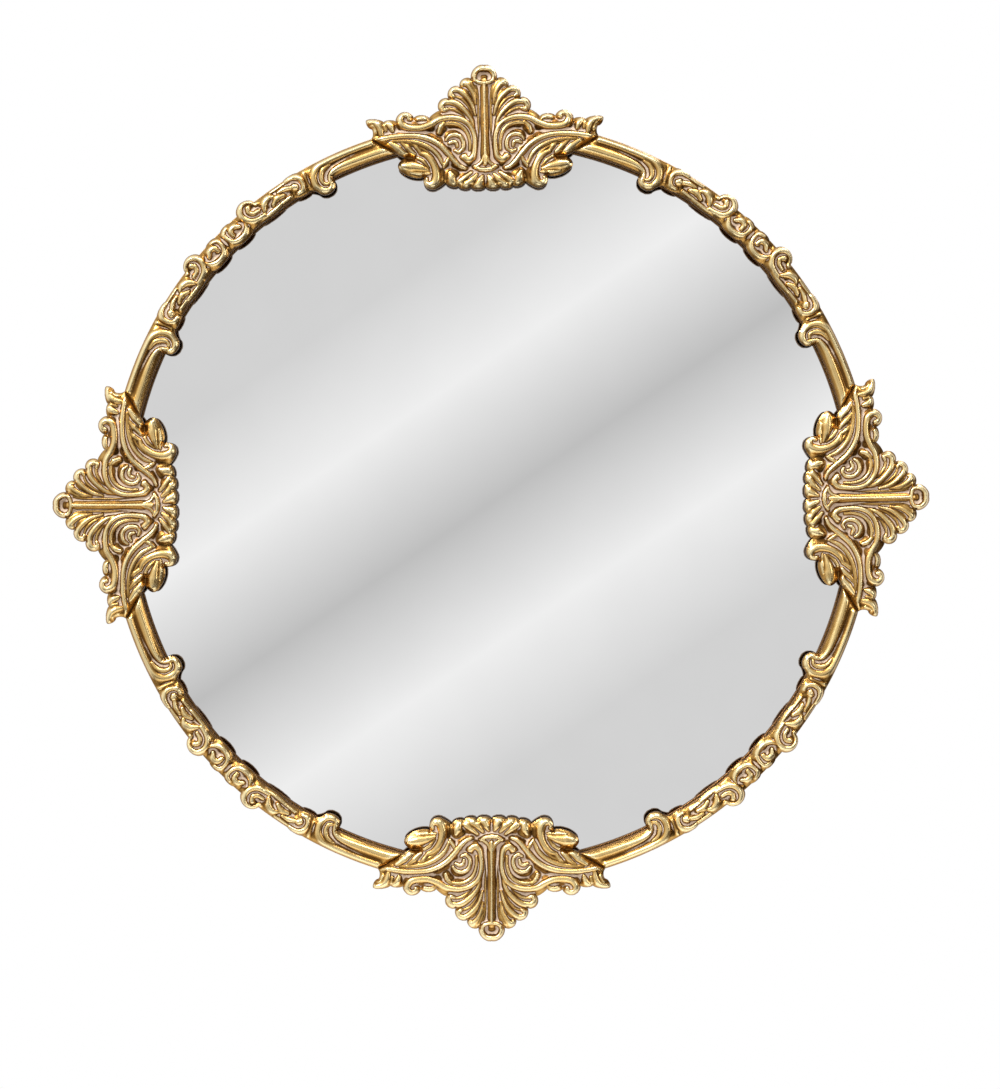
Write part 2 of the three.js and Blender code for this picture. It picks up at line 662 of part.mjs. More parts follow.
// ---------------------------------------------------------------- upright, with the glass towards -Y
mirror.rotation.x = Math.PI / 2;
export default mirror;
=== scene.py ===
"""Round convex wall mirror: a domed glass in a turned gilt ring, dressed with cast leaf and scroll work.

The castings are carved here as reliefs. Each is drawn as strands (leaves, stems, scrolls) over an outline,
in real millimetres, and becomes one closed mesh. World axes are the frame's: +Z up, the glass towards -Y.
"""

import json
import math

import bpy
import bmesh
import numpy as np
from mathutils import Matrix, Vector


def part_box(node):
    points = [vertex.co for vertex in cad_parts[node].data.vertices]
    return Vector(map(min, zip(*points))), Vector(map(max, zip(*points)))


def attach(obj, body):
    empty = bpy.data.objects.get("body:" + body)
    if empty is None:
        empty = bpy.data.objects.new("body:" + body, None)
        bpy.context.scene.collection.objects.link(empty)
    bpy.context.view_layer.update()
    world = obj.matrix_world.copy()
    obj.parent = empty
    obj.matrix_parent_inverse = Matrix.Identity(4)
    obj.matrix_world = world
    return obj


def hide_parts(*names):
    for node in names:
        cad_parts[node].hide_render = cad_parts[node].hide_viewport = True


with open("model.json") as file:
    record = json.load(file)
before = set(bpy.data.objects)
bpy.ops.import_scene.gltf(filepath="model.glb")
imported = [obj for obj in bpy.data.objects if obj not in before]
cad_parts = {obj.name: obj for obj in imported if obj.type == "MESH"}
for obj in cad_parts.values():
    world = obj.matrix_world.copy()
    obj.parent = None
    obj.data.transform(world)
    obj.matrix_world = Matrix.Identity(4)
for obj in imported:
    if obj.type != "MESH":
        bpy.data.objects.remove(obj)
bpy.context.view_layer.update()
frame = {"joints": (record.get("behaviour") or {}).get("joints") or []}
MM = 0.001


# ---------------------------------------------------------------- sizes, in millimetres
def box_mm(node):
    low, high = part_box(node)
    return [v / MM for v in low], [v / MM for v in high]


def depth_of(node):
    """(back, front) of a node, measured out of the wall."""
    low, high = box_mm(node)
    return -high[1], -low[1]


RING_LOW, RING_HIGH = box_mm("frame_ring")
RING_RADIUS = RING_HIGH[0]  # outer edge of the ring
RING_BACK, RING_FRONT = -RING_HIGH[1], -RING_LOW[1]
RING_WALL = 12.0
RING_LIP = 3.3  # thickness of the lip in front of the glass
GLASS_RADIUS = 305.0
GLASS_RISE = 20.0
GLASS_THICKNESS = 4.0
REBATE = 5.0
TAPE_WIDTH = 12.0
SIGHT_RADIUS = GLASS_RADIUS - REBATE
PITCH = (SIGHT_RADIUS + RING_RADIUS) / 2  # the ring's middle line
BORE_RADIUS = RING_RADIUS - RING_WALL

# The cartouches were set as listed: degrees past right, top, left and bottom, anticlockwise from the front.
CARTOUCHES = {"right": 0.8, "top": 90.95, "left": 180.3, "bottom": 270.1}
CARTOUCHE_HALF_WIDTH = 84.5
CARTOUCHE_END_SLOPE = 0.92
CARTOUCHE_GROUND, CARTOUCHE_RIM = 4.2, 2.0  # height of the bare ground, and of its rim, over the back
MOULDING_GROUND, MOULDING_RIM = 3.3, 1.6
CASTING_JOINT = 0.8
MOULDING_INSET = 0.8

# the carving
GRAIN = 0.45  # spacing of its points
FULLNESS = 1.75  # how much the strands swell over their drawn widths, so that neighbours meet
RISE = 0.72  # how much of its drawn height each strand stands over the ground
LINE_STEP = 0.7  # spacing of the points along a strand
RIB_CURVE = 0.75  # lower is fuller
SKIRT = 2.0  # reach of a strand's skirt, in its half widths
SKIRT_SHARE = 0.55  # height of the skirt, as a share of the strand's
SKIRT_CURVE = 1.5
GROUND_SWELL = 1.8  # how far in from its rim the ground swells
STRAND_FADE, FADE_CURVE = 2.6, 0.6  # how far in from the rim the strands reach their height
HOLLOW_START, HOLLOW_REACH = 1.0, 1.5  # how far in from the rim the hollows' mark, which carries the wash and the painted shade, begins, and grows
SNAP = 0.35  # points this far outside the outline, in grid steps, are drawn onto it
SOFTENING = 0.28  # blur that takes the edge off the tool's marks
SURROUNDINGS = 1.9  # blur that shows what lies round a point
MARK_DEPTH = 0.9  # how far a point is over or under its surroundings where its mark is full
RIM_SHADE, RIM_REACH = 0.55, 1.7  # share of the painted shade, in brown, that the sides carry at the rim, and how far in it reaches

SCREW_SHANK_RADIUS = 1.7
SCREW_HEAD_HEIGHT = 2.3
RECESS_WIDTH = 0.9

WIRE_RADIUS = 1.25
D_WIDTH = 25.0
D_DROP = 19.0
D_FULLNESS = 0.75  # 1 is half an ellipse, lower is squarer
STRAP_SHEET = 1.0
BAR_PLAY = 0.3
SEAM = 0.3


# ---------------------------------------------------------------- colours and nodes
def srgb(code):
    """An sRGB hex colour as linear RGBA."""
    values = [int(code[i : i + 2], 16) / 255 for i in (1, 3, 5)]
    return tuple(v / 12.92 if v <= 0.04045 else ((v + 0.055) / 1.055) ** 2.4 for v in values) + (1.0,)


MIX_FIRST, MIX_SECOND, MIXED = 6, 7, 2  # the colour sockets of a Mix node
TURN_LIMIT, TURN = 3, 1  # the number sockets of a Random Value node


def node(tree, kind, inputs=(), out=0, stops=(), **settings):
    """Adds a node with its settings and links, and returns one of its outputs.

    inputs are values, or the outputs that feed the sockets, in the sockets' order or by name or index. A
    list feeds a socket that takes several. stops are a colour ramp's (position, hex colour)."""
    made = tree.nodes.new(kind)
    for key, value in settings.items():
        setattr(made, key, value)
    for key, value in inputs.items() if isinstance(inputs, dict) else enumerate(inputs):
        for source in value if isinstance(value, list) else [value]:
            if isinstance(source, bpy.types.NodeSocket):
                tree.links.new(source, made.inputs[key])
            else:
                made.inputs[key].default_value = source
    if stops:
        elements = made.color_ramp.elements
        while len(elements) < len(stops):
            elements.new(0.5)
        for element, (position, colour) in zip(elements, stops):
            element.position = position
            element.color = srgb(colour)
    return made.outputs[out] if made.outputs else None


def blank(name):
    """A new material, its empty tree, and object coordinates in metres."""
    material = bpy.data.materials.new(name)
    material.use_nodes = True
    tree = material.node_tree
    tree.nodes.clear()
    return material, tree, node(tree, "ShaderNodeTexCoord", out="Object")


def finished(material, inputs):
    """Ends a material: its shader takes these inputs and feeds its output."""
    tree = material.node_tree
    shader = node(tree, "ShaderNodeBsdfPrincipled", inputs)
    node(tree, "ShaderNodeOutputMaterial", {"Surface": shader})
    return material


def per_mm(size):
    """A texture's scale, on coordinates in metres, for features about size millimetres across."""
    return 1 / (size * MM)


# ---------------------------------------------------------------- finishes
def gilt_casting():
    """Cast resin under gilt: metal worn brighter on the crests, with a painted highlight there and painted
    shade darkening it towards the hollows, an old rose wash left matt in the hollows, and painted shade in
    brown on the sides and rim."""
    material, tree, where = blank("gilt_cast_resin")
    hollow = node(tree, "ShaderNodeAttribute", out="Fac", attribute_name="hollow")
    crest = node(tree, "ShaderNodeAttribute", out="Fac", attribute_name="crest")
    side = node(tree, "ShaderNodeAttribute", out="Fac", attribute_name="side")
    cloud = {"Vector": where, "Scale": per_mm(9.0), "Detail": 4.0, "Roughness": 0.55}
    cloud = node(tree, "ShaderNodeTexNoise", cloud)
    speck = {"Vector": where, "Scale": per_mm(1.3), "Detail": 3.0, "Roughness": 0.7}
    speck = node(tree, "ShaderNodeTexNoise", speck)
    fine = {"Vector": where, "Scale": per_mm(0.55), "Detail": 2.0, "Roughness": 0.55}
    fine = node(tree, "ShaderNodeTexNoise", fine)

    # the wash fills the hollows, with a ragged and clouded edge
    ragged = node(tree, "ShaderNodeMath", (speck, 0.3, hollow), operation="MULTIPLY_ADD")
    clouded = node(tree, "ShaderNodeMath", (cloud, 0.25, ragged), operation="MULTIPLY_ADD")
    wash = node(tree, "ShaderNodeMapRange", (clouded, 0.895, 1.225), interpolation_type="SMOOTHSTEP")

    # the gilding is worn brighter towards the crests; the ramp also paints a highlight on the crests and
    # painted shade, dark brown, towards the hollows
    height = node(tree, "ShaderNodeMath", (crest, hollow), operation="SUBTRACT")
    worn = node(tree, "ShaderNodeMath", (cloud, 0.5, height), operation="MULTIPLY_ADD")
    worn = node(tree, "ShaderNodeMapRange", (worn, -0.25, 1.25))
    gilding = [(0.0, "#6A4820"), (0.28, "#AE8444"), (0.52, "#D8AF69"), (0.8, "#EBCD8E"), (1.0, "#F8E4B0")]
    metal = node(tree, "ShaderNodeValToRGB", (worn,), stops=gilding)

    tints = {"Factor": cloud, MIX_FIRST: srgb("#DEBFA2"), MIX_SECOND: srgb("#F0DFCC")}
    rose = node(tree, "ShaderNodeMix", tints, MIXED, data_type="RGBA")
    washed = {"Factor": wash, MIX_FIRST: metal, MIX_SECOND: rose}
    colour = node(tree, "ShaderNodeMix", washed, MIXED, data_type="RGBA")
    # painted shade: the casting's sides and its rim turn dark brown
    bare = node(tree, "ShaderNodeMapRange", (side, 0.1, 0.8), interpolation_type="SMOOTHSTEP")
    shaded_sides = {"Factor": bare, MIX_FIRST: colour, MIX_SECOND: srgb("#70502A")}
    colour = node(tree, "ShaderNodeMix", shaded_sides, MIXED, data_type="RGBA")

    metallic = node(tree, "ShaderNodeMath", (wash, -0.92, 1.0), operation="MULTIPLY_ADD")
    shine = (speck, 0.3, 0.75, 0.24, 0.36)
    shine = node(tree, "ShaderNodeMapRange", shine, interpolation_type="SMOOTHSTEP")
    rough = node(tree, "ShaderNodeMath", (wash, 0.36, shine), operation="MULTIPLY_ADD")
    coarse = node(tree, "ShaderNodeBump", {"Height": speck, "Distance": 0.04 * MM, "Strength": 0.25})
    pores = {"Height": fine, "Distance": 0.015 * MM, "Strength": 0.3, "Normal": coarse}
    bump = node(tree, "ShaderNodeBump", pores)
    gilt = {"Base Color": colour, "Metallic": metallic, "Roughness": rough, "Normal": bump}
    return finished(material, gilt)


def gilt_ring():
    """Turned board sealed and gilt by brush: a little darker and duller than the castings, with painted
    shade in dark brown inside its lip."""
    material, tree, where = blank("gilt_turned_ring")
    cloud = {"Vector": where, "Scale": per_mm(14.0), "Detail": 4.0, "Roughness": 0.55}
    cloud = node(tree, "ShaderNodeTexNoise", cloud)
    brush = {"Vector": where, "Scale": per_mm(1.6), "Detail": 3.0, "Roughness": 0.7}
    brush = node(tree, "ShaderNodeTexNoise", brush)
    flat = node(tree, "ShaderNodeVectorMath", (where, (1.0, 0.0, 1.0)), operation="MULTIPLY")
    radius = node(tree, "ShaderNodeVectorMath", (flat,), "Value", operation="LENGTH")
    lip = (radius, (SIGHT_RADIUS + 1.2) * MM, (SIGHT_RADIUS + 0.3) * MM)
    inside = node(tree, "ShaderNodeMapRange", lip, interpolation_type="SMOOTHSTEP")
    gilding = [(0.3, "#A47A3A"), (0.55, "#BF9350"), (0.75, "#CFA763")]
    metal = node(tree, "ShaderNodeValToRGB", (cloud,), stops=gilding)
    thin = node(tree, "ShaderNodeMapRange", (brush, 0.52, 0.72), interpolation_type="SMOOTHSTEP")
    washed = {"Factor": thin, MIX_FIRST: metal, MIX_SECOND: srgb("#C8A484")}
    colour = node(tree, "ShaderNodeMix", washed, MIXED, data_type="RGBA")
    # painted shade: the lip's inner wall turns dark brown
    lip_shaded = {"Factor": inside, MIX_FIRST: colour, MIX_SECOND: srgb("#6B4A28")}
    colour = node(tree, "ShaderNodeMix", lip_shaded, MIXED, data_type="RGBA")
    leaf = (brush, 0.5, 0.75, 0.95, 0.35)
    metallic = node(tree, "ShaderNodeMapRange", leaf, interpolation_type="SMOOTHSTEP")
    strokes = (brush, 0.3, 0.7, 0.34, 0.52)
    rough = node(tree, "ShaderNodeMapRange", strokes, interpolation_type="SMOOTHSTEP")
    bump = node(tree, "ShaderNodeBump", {"Height": brush, "Distance": 0.12 * MM, "Strength": 0.5})
    gilt = {"Base Color": colour, "Metallic": metallic, "Roughness": rough, "Normal": bump}
    return finished(material, gilt)


def silvered_glass():
    """Silvered float glass: a sharp mirror, a shade off white."""
    material, tree, where = blank("silvered_glass")
    haze = {"Vector": where, "Scale": per_mm(60.0), "Detail": 2.0, "Roughness": 0.55}
    haze = node(tree, "ShaderNodeTexNoise", haze)
    colour = node(tree, "ShaderNodeValToRGB", (haze,), stops=[(0.2, "#F6F6F6"), (0.8, "#F9F9F9")])
    rough = node(tree, "ShaderNodeMapRange", (haze, 0.2, 0.8, 0.012, 0.02), interpolation_type="SMOOTHSTEP")
    return finished(material, {"Base Color": colour, "Metallic": 1.0, "Roughness": rough})


def painted_panel():
    """Fibreboard with a thin dark brown coat: matt, with the board's fibres just showing."""
    material, tree, where = blank("painted_fibreboard")
    cloud = {"Vector": where, "Scale": per_mm(45.0), "Detail": 4.0, "Roughness": 0.55}
    cloud = node(tree, "ShaderNodeTexNoise", cloud)
    fibre = {"Vector": where, "Scale": per_mm(1.1), "Detail": 4.0, "Roughness": 0.75}
    fibre = node(tree, "ShaderNodeTexNoise", fibre)
    coats = {"Factor": cloud, MIX_FIRST: srgb("#2A211B"), MIX_SECOND: srgb("#3A2E26")}
    coat = node(tree, "ShaderNodeMix", coats, MIXED, data_type="RGBA")
    bare = node(tree, "ShaderNodeMapRange", (fibre, 0.58, 0.74), interpolation_type="SMOOTHSTEP")
    fibres = {"Factor": bare, MIX_FIRST: coat, MIX_SECOND: srgb("#4E4036")}
    colour = node(tree, "ShaderNodeMix", fibres, MIXED, data_type="RGBA")
    rough = node(tree, "ShaderNodeMapRange", (fibre, 0.3, 0.7, 0.62, 0.8), interpolation_type="SMOOTHSTEP")
    bump = node(tree, "ShaderNodeBump", {"Height": fibre, "Distance": 0.1 * MM, "Strength": 0.5})
    return finished(material, {"Base Color": colour, "Roughness": rough, "Normal": bump})


def black_foam():
    """Closed-cell foam tape: near black, with fine bubbles."""
    material, tree, where = blank("black_foam")
    cells = node(tree, "ShaderNodeTexVoronoi", {"Vector": where, "Scale": per_mm(0.8)})
    colour = node(tree, "ShaderNodeValToRGB", (cells,), stops=[(0.1, "#1A1A1A"), (0.6, "#333333")])
    bump = node(tree, "ShaderNodeBump", {"Height": cells, "Distance": 0.2 * MM, "Strength": 0.6})
    return finished(material, {"Base Color": colour, "Roughness": 0.9, "Normal": bump})


def pressed_felt():
    """Pressed wool felt: dull, fuzzy and slightly mottled."""
    material, tree, where = blank("pressed_felt")
    tufts = {"Vector": where, "Scale": per_mm(0.9), "Detail": 5.0, "Roughness": 0.8}
    tufts = node(tree, "ShaderNodeTexNoise", tufts)
    cloud = {"Vector": where, "Scale": per_mm(6.0), "Detail": 3.0, "Roughness": 0.55}
    cloud = node(tree, "ShaderNodeTexNoise", cloud)
    wools = {"Factor": tufts, MIX_FIRST: srgb("#2F2A27"), MIX_SECOND: srgb("#58504A")}
    wool = node(tree, "ShaderNodeMix", wools, MIXED, data_type="RGBA")
    worn = node(tree, "ShaderNodeMapRange", (cloud, 0.4, 0.8, 0.0, 0.4), interpolation_type="SMOOTHSTEP")
    patches = {"Factor": worn, MIX_FIRST: wool, MIX_SECOND: srgb("#3B3531")}
    colour = node(tree, "ShaderNodeMix", patches, MIXED, data_type="RGBA")
    bump = node(tree, "ShaderNodeBump", {"Height": tufts, "Distance": 0.35 * MM, "Strength": 0.9})
    fuzz = {"Roughness": 0.95, "Sheen Weight": 0.35}
    return finished(material, {"Base Color": colour, "Normal": bump, **fuzz})


def plated_steel(name, pale, dark, rough):
    """Pressed or turned steel under bright plating: mottled a little, with fine drawing marks."""
    material, tree, where = blank(name)
    mottle = {"Vector": where, "Scale": per_mm(3.0), "Detail": 3.0, "Roughness": 0.55}
    mottle = node(tree, "ShaderNodeTexNoise", mottle)
    grain = {"Vector": where, "Scale": per_mm(0.3), "Detail": 2.0, "Roughness": 0.55}
    grain = node(tree, "ShaderNodeTexNoise", grain)
    shades = {"Factor": mottle, MIX_FIRST: srgb(dark), MIX_SECOND: srgb(pale)}
    colour = node(tree, "ShaderNodeMix", shades, MIXED, data_type="RGBA")
    dulling = (mottle, 0.3, 0.7, rough, rough + 0.14)
    dull = node(tree, "ShaderNodeMapRange", dulling, interpolation_type="SMOOTHSTEP")
    bump = node(tree, "ShaderNodeBump", {"Height": grain, "Distance": 0.02 * MM, "Strength": 0.4})
    return finished(material, {"Base Color": colour, "Metallic": 1.0, "Roughness": dull, "Normal": bump})


GILT = gilt_casting()
RING_GILT = gilt_ring()
MIRROR = silvered_glass()
PANEL = painted_panel()
FOAM = black_foam()
FELT = pressed_felt()
ZINC = plated_steel("zinc_plated_steel", "#CDD0D3", "#9EA3A8", 0.26)
BRASS = plated_steel("brassed_steel", "#D6B870", "#A88744", 0.28)


# ---------------------------------------------------------------- mesh helpers
AXIS_REACH = 1e-9  # a radius under this lies on the axis
MERGE_DISTANCE = 1e-6
CORNER_SHARE = 0.45  # of a side, at most, goes into a corner's rounding
ARC_CURVE = 1.3  # 1 is half an ellipse, higher is more pointed
BLUR_REACH = 2.5  # reach of a blur, in its radii


def mesh_object(name, vertices, faces, material):
    """An object from vertices in millimetres and faces as lists of corners."""
    mesh = bpy.data.meshes.new(name)
    mesh.from_pydata([tuple(v) for v in np.asarray(vertices, float) * MM], [], faces)
    mesh.update()
    mesh.polygons.foreach_set("use_smooth", [True] * len(mesh.polygons))
    mesh.materials.append(material)
    made = bpy.data.objects.new(name, mesh)
    bpy.context.scene.collection.objects.link(made)
    return made


def place(piece, body, slot, *nodes):
    """The piece rides on its body and stands for its CAD nodes."""
    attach(piece, body)
    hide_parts(*nodes)


def outward(piece):
    """Merges a mesh's doubles and turns its faces outwards."""
    work = bmesh.new()
    work.from_mesh(piece.data)
    bmesh.ops.remove_doubles(work, verts=work.verts, dist=MERGE_DISTANCE)
    bmesh.ops.recalc_face_normals(work, faces=work.faces)
    work.to_mesh(piece.data)
    work.free()


def sharpen(piece, degrees=35):
    """Keeps the edges that bend more than this crisp under smooth shading."""
    piece.data.set_sharp_from_angle(angle=math.radians(degrees))


def turned(name, profile, segments, material, centre=(0.0, 0.0)):
    """A closed (radius, depth) profile turned about the mirror's axis, or about one at centre."""
    rows = len(profile)
    angles = np.arange(segments) * 2 * math.pi / segments
    vertices = []
    for r, depth in profile:
        for a in angles:
            vertices.append((centre[0] + r * math.cos(a), -depth, centre[1] + r * math.sin(a)))
    faces = []
    for i in range(rows):
        j = (i + 1) % rows
        if profile[i][0] < AXIS_REACH and profile[j][0] < AXIS_REACH:
            continue
        for k in range(segments):
            n = (k + 1) % segments
            faces.append((i * segments + k, i * segments + n, j * segments + n, j * segments + k))
    made = mesh_object(name, vertices, faces, material)
    outward(made)
    sharpen(made)
    return made


def rounded(corners, radius, steps=4):
    """A closed profile with each corner rounded by an arc-like curve of about that radius."""
    points = []
    count = len(corners)
    for i in range(count):
        at = np.array(corners[i], float)
        before = np.array(corners[i - 1], float) - at
        after = np.array(corners[(i + 1) % count], float) - at
        if at[0] < AXIS_REACH:
            points.append(tuple(at))
            continue
        reach = min(radius, *(CORNER_SHARE * np.linalg.norm(v) for v in (before, after)))
        start = at + before / np.linalg.norm(before) * reach
        end = at + after / np.linalg.norm(after) * reach
        for t in np.linspace(0, 1, steps + 1):
            points.append(tuple((1 - t) ** 2 * start + 2 * t * (1 - t) * at + t**2 * end))
    return points


def smooth_line(points, spacing=0.5):
    """A centripetal Catmull-Rom curve through the points, as closely spaced points."""
    p = np.array(points, float)
    if len(p) == 2:
        count = max(2, int(np.linalg.norm(p[1] - p[0]) / spacing))
        return p[0] + (p[1] - p[0]) * np.linspace(0, 1, count + 1)[:, None]
    p = np.vstack([2 * p[0] - p[1], p, 2 * p[-1] - p[-2]])
    pieces = []
    for i in range(1, len(p) - 2):
        a, b, c, d = p[i - 1 : i + 3]
        t0 = 0.0
        t1 = t0 + np.linalg.norm(b - a) ** 0.5
        t2 = t1 + np.linalg.norm(c - b) ** 0.5
        t3 = t2 + np.linalg.norm(d - c) ** 0.5
        count = max(2, int(np.linalg.norm(c - b) / spacing))
        t = np.linspace(t1, t2, count, endpoint=False)[:, None]
        ab = (t1 - t) / (t1 - t0) * a + (t - t0) / (t1 - t0) * b
        bc = (t2 - t) / (t2 - t1) * b + (t - t1) / (t2 - t1) * c
        cd = (t3 - t) / (t3 - t2) * c + (t - t2) / (t3 - t2) * d
        abc = (t2 - t) / (t2 - t0) * ab + (t - t0) / (t2 - t0) * bc
        bcd = (t3 - t) / (t3 - t1) * bc + (t - t1) / (t3 - t1) * cd
        pieces.append((t2 - t) / (t2 - t1) * abc + (t - t1) / (t2 - t1) * bcd)
    return np.vstack(pieces + [p[-2][None]])


def arc_line(start, stops, spacing=0.5):
    """A chain of arcs: each stop is (across, up, rise), and rise is how far the arc that arrives there
    bulges to the left of its chord."""
    points = [np.array(start, float)]
    for x, y, rise in stops:
        a = points[-1]
        b = np.array((x, y), float)
        chord = np.linalg.norm(b - a)
        count = max(1, int((chord + abs(rise)) / spacing))
        t = np.linspace(0, 1, count + 1)[1:, None]
        aside = np.array((-(b - a)[1], (b - a)[0])) / chord
        bulge = np.sqrt(np.clip(1 - (2 * t - 1) ** 2, 0, 1)) ** ARC_CURVE
        points.extend(a + (b - a) * t + aside * rise * bulge)
    return np.array(points)


# ---------------------------------------------------------------- carving
def strand(grid_x, grid_y, line, widths, heights):
    """Height of one strand over the grid: a rounded rib of varying half width and height, which falls away
    in a lower skirt on both sides, so that neighbours meet in a groove."""
    points = smooth_line(line, LINE_STEP)
    lengths = np.concatenate([[0], np.cumsum(np.linalg.norm(np.diff(points, axis=0), axis=1))])
    share = lengths / lengths[-1]
    half = FULLNESS * np.interp(share, np.linspace(0, 1, len(widths)), widths)
    crest = np.interp(share, np.linspace(0, 1, len(heights)), heights)
    result = np.zeros_like(grid_x)
    for i in range(len(points)):
        x, y = points[i]
        near = (np.abs(grid_x[0] - x) < SKIRT * half[i]).nonzero()[0]
        rows = (np.abs(grid_y[:, 0] - y) < SKIRT * half[i]).nonzero()[0]
        if not len(near) or not len(rows):
            continue
        window = np.s_[rows[0] : rows[-1] + 1, near[0] : near[-1] + 1]
        q = ((grid_x[window] - x) ** 2 + (grid_y[window] - y) ** 2) / half[i] ** 2
        rib = np.clip(1 - q, 0, 1) ** RIB_CURVE
        skirt = SKIRT_SHARE * np.clip(1 - q / SKIRT**2, 0, 1) ** SKIRT_CURVE
        result[window] = np.maximum(result[window], RISE * crest[i] * np.maximum(rib, skirt))
    return result


def distance_inside(grid_x, grid_y, outline):
    """Signed distance to a closed outline, positive inside."""
    a = outline
    b = np.roll(outline, -1, axis=0)
    best = np.full(grid_x.shape, 1e9)
    inside = np.zeros(grid_x.shape, bool)
    for (x0, y0), (x1, y1) in zip(a, b):
        dx, dy = x1 - x0, y1 - y0
        span = dx * dx + dy * dy
        if span < 1e-12:
            continue
        t = np.clip(((grid_x - x0) * dx + (grid_y - y0) * dy) / span, 0, 1)
        best = np.minimum(best, (grid_x - x0 - t * dx) ** 2 + (grid_y - y0 - t * dy) ** 2)
        if dy:
            crosses = (y0 > grid_y) != (y1 > grid_y)
            inside ^= crosses & (grid_x < dx * (grid_y - y0) / dy + x0)
    return np.sqrt(best) * np.where(inside, 1, -1)


def blurred(values, radius_mm):
    """Gaussian blur of a grid."""
    reach = max(1, int(round(BLUR_REACH * radius_mm / GRAIN)))
    weights = np.exp(-0.5 * (np.arange(-reach, reach + 1) * GRAIN / radius_mm) ** 2)
    weights /= weights.sum()
    for axis in (0, 1):
        padded = np.pad(values, [(reach, reach) if k == axis else (0, 0) for k in (0, 1)], mode="edge")
        size = values.shape[axis]
        parts = [w * np.take(padded, range(i, i + size), axis=axis) for i, w in enumerate(weights)]
        values = sum(parts)
    return values


def relief(name, half_outline, strands, heights, to_world):
    """A carved casting, mirrored about its centre line and closed by its sides and a flat back.

    heights are that of its bare ground and that of its rim, over its back, and the depth of its back.
    to_world turns grid points (across, up, depth) into the mirror's (x, y, z)."""
    ground, edge, back = heights
    low = half_outline.min(axis=0)
    high = half_outline.max(axis=0)
    xs = np.arange(0, high[0] + 2 * GRAIN, GRAIN)
    ys = np.arange(low[1] - 2 * GRAIN, high[1] + 2 * GRAIN, GRAIN)
    grid_x, grid_y = np.meshgrid(xs, ys)
    far = -high[0]
    closed = np.vstack([half_outline, [(far, half_outline[-1][1]), (far, half_outline[0][1])]])
    inward = distance_inside(grid_x, grid_y, closed)

    height = np.zeros_like(grid_x)
    for line, widths, crests in strands:
        height = np.maximum(height, strand(grid_x, grid_y, line, widths, crests))
    pillow = edge + (ground - edge) * (1 - np.exp(-np.clip(inward, 0, None) / GROUND_SWELL))
    height = pillow + height * np.clip(inward / STRAND_FADE, 0, 1) ** FADE_CURVE

    def both(half):
        return np.hstack([half[:, :0:-1], half])

    x = np.hstack([-grid_x[:, :0:-1], grid_x])
    y = both(grid_y)
    inward = both(inward)
    height = blurred(both(height), SOFTENING)
    around = blurred(height, SURROUNDINGS)
    # the hollow and crest marks: the wash and the wear follow them, and so do painted shade in the hollows
    # and a painted highlight on the crests
    within = np.clip((inward - HOLLOW_START) / HOLLOW_REACH, 0, 1)
    hollow = np.clip((around - height) / MARK_DEPTH, 0, 1) * within
    crest = np.clip((height - around) / MARK_DEPTH, 0, 1)
    # painted shade at the rim, fading inwards
    rim = RIM_SHADE * np.clip(1 - inward / RIM_REACH, 0, 1)
    marks = {"hollow": hollow, "crest": crest, "side": rim}
    return relief_mesh(name, x, y, height, inward, marks, back, to_world)


def flood(open_cells, start):
    """The open cells that can be reached from the start cells, side to side."""
    reached = start & open_cells
    while True:
        wider = reached.copy()
        wider[1:] |= reached[:-1]
        wider[:-1] |= reached[1:]
        wider[:, 1:] |= reached[:, :-1]
        wider[:, :-1] |= reached[:, 1:]
        wider &= open_cells
        if (wider == reached).all():
            return reached
        reached = wider


def one_patch(cells, start):
    """The patch of cells round the start cell, with its holes and corner-to-corner contacts filled."""
    seed = np.zeros_like(cells)
    seed[start] = True
    patch = flood(cells, seed)
    while True:
        rising = patch[:-1, :-1] & patch[1:, 1:] & ~patch[1:, :-1] & ~patch[:-1, 1:]
        falling = patch[1:, :-1] & patch[:-1, 1:] & ~patch[:-1, :-1] & ~patch[1:, 1:]
        if not (rising.any() or falling.any()):
            break
        patch[1:, :-1] |= rising
        patch[:-1, :-1] |= falling
    rim = np.ones_like(patch)
    rim[1:-1, 1:-1] = False
    return ~flood(~patch, rim)


def mark_points(piece, label, *values):
    """Stores one number for each of a mesh's points, which its finish reads."""
    attribute = piece.data.attributes.new(label, "FLOAT", "POINT")
    attribute.data.foreach_set("value", np.concatenate(values).astype(np.float32))


def back_strips(cells, number):
    """A carving's flat back, in strips one cell wide that run from rim to rim. number is the index of each
    rim point on the back, and -1 elsewhere."""
    faces = []
    for i in range(cells.shape[1]):
        steps = np.diff(np.concatenate([[0], cells[:, i].astype(int), [0]]))
        for a, b in zip(np.flatnonzero(steps == 1), np.flatnonzero(steps == -1)):
            left = [int(v) for v in number[a : b + 1, i] if v >= 0]
            right = [int(v) for v in number[a : b + 1, i + 1] if v >= 0]
            faces.append(left + right[::-1])
    return faces


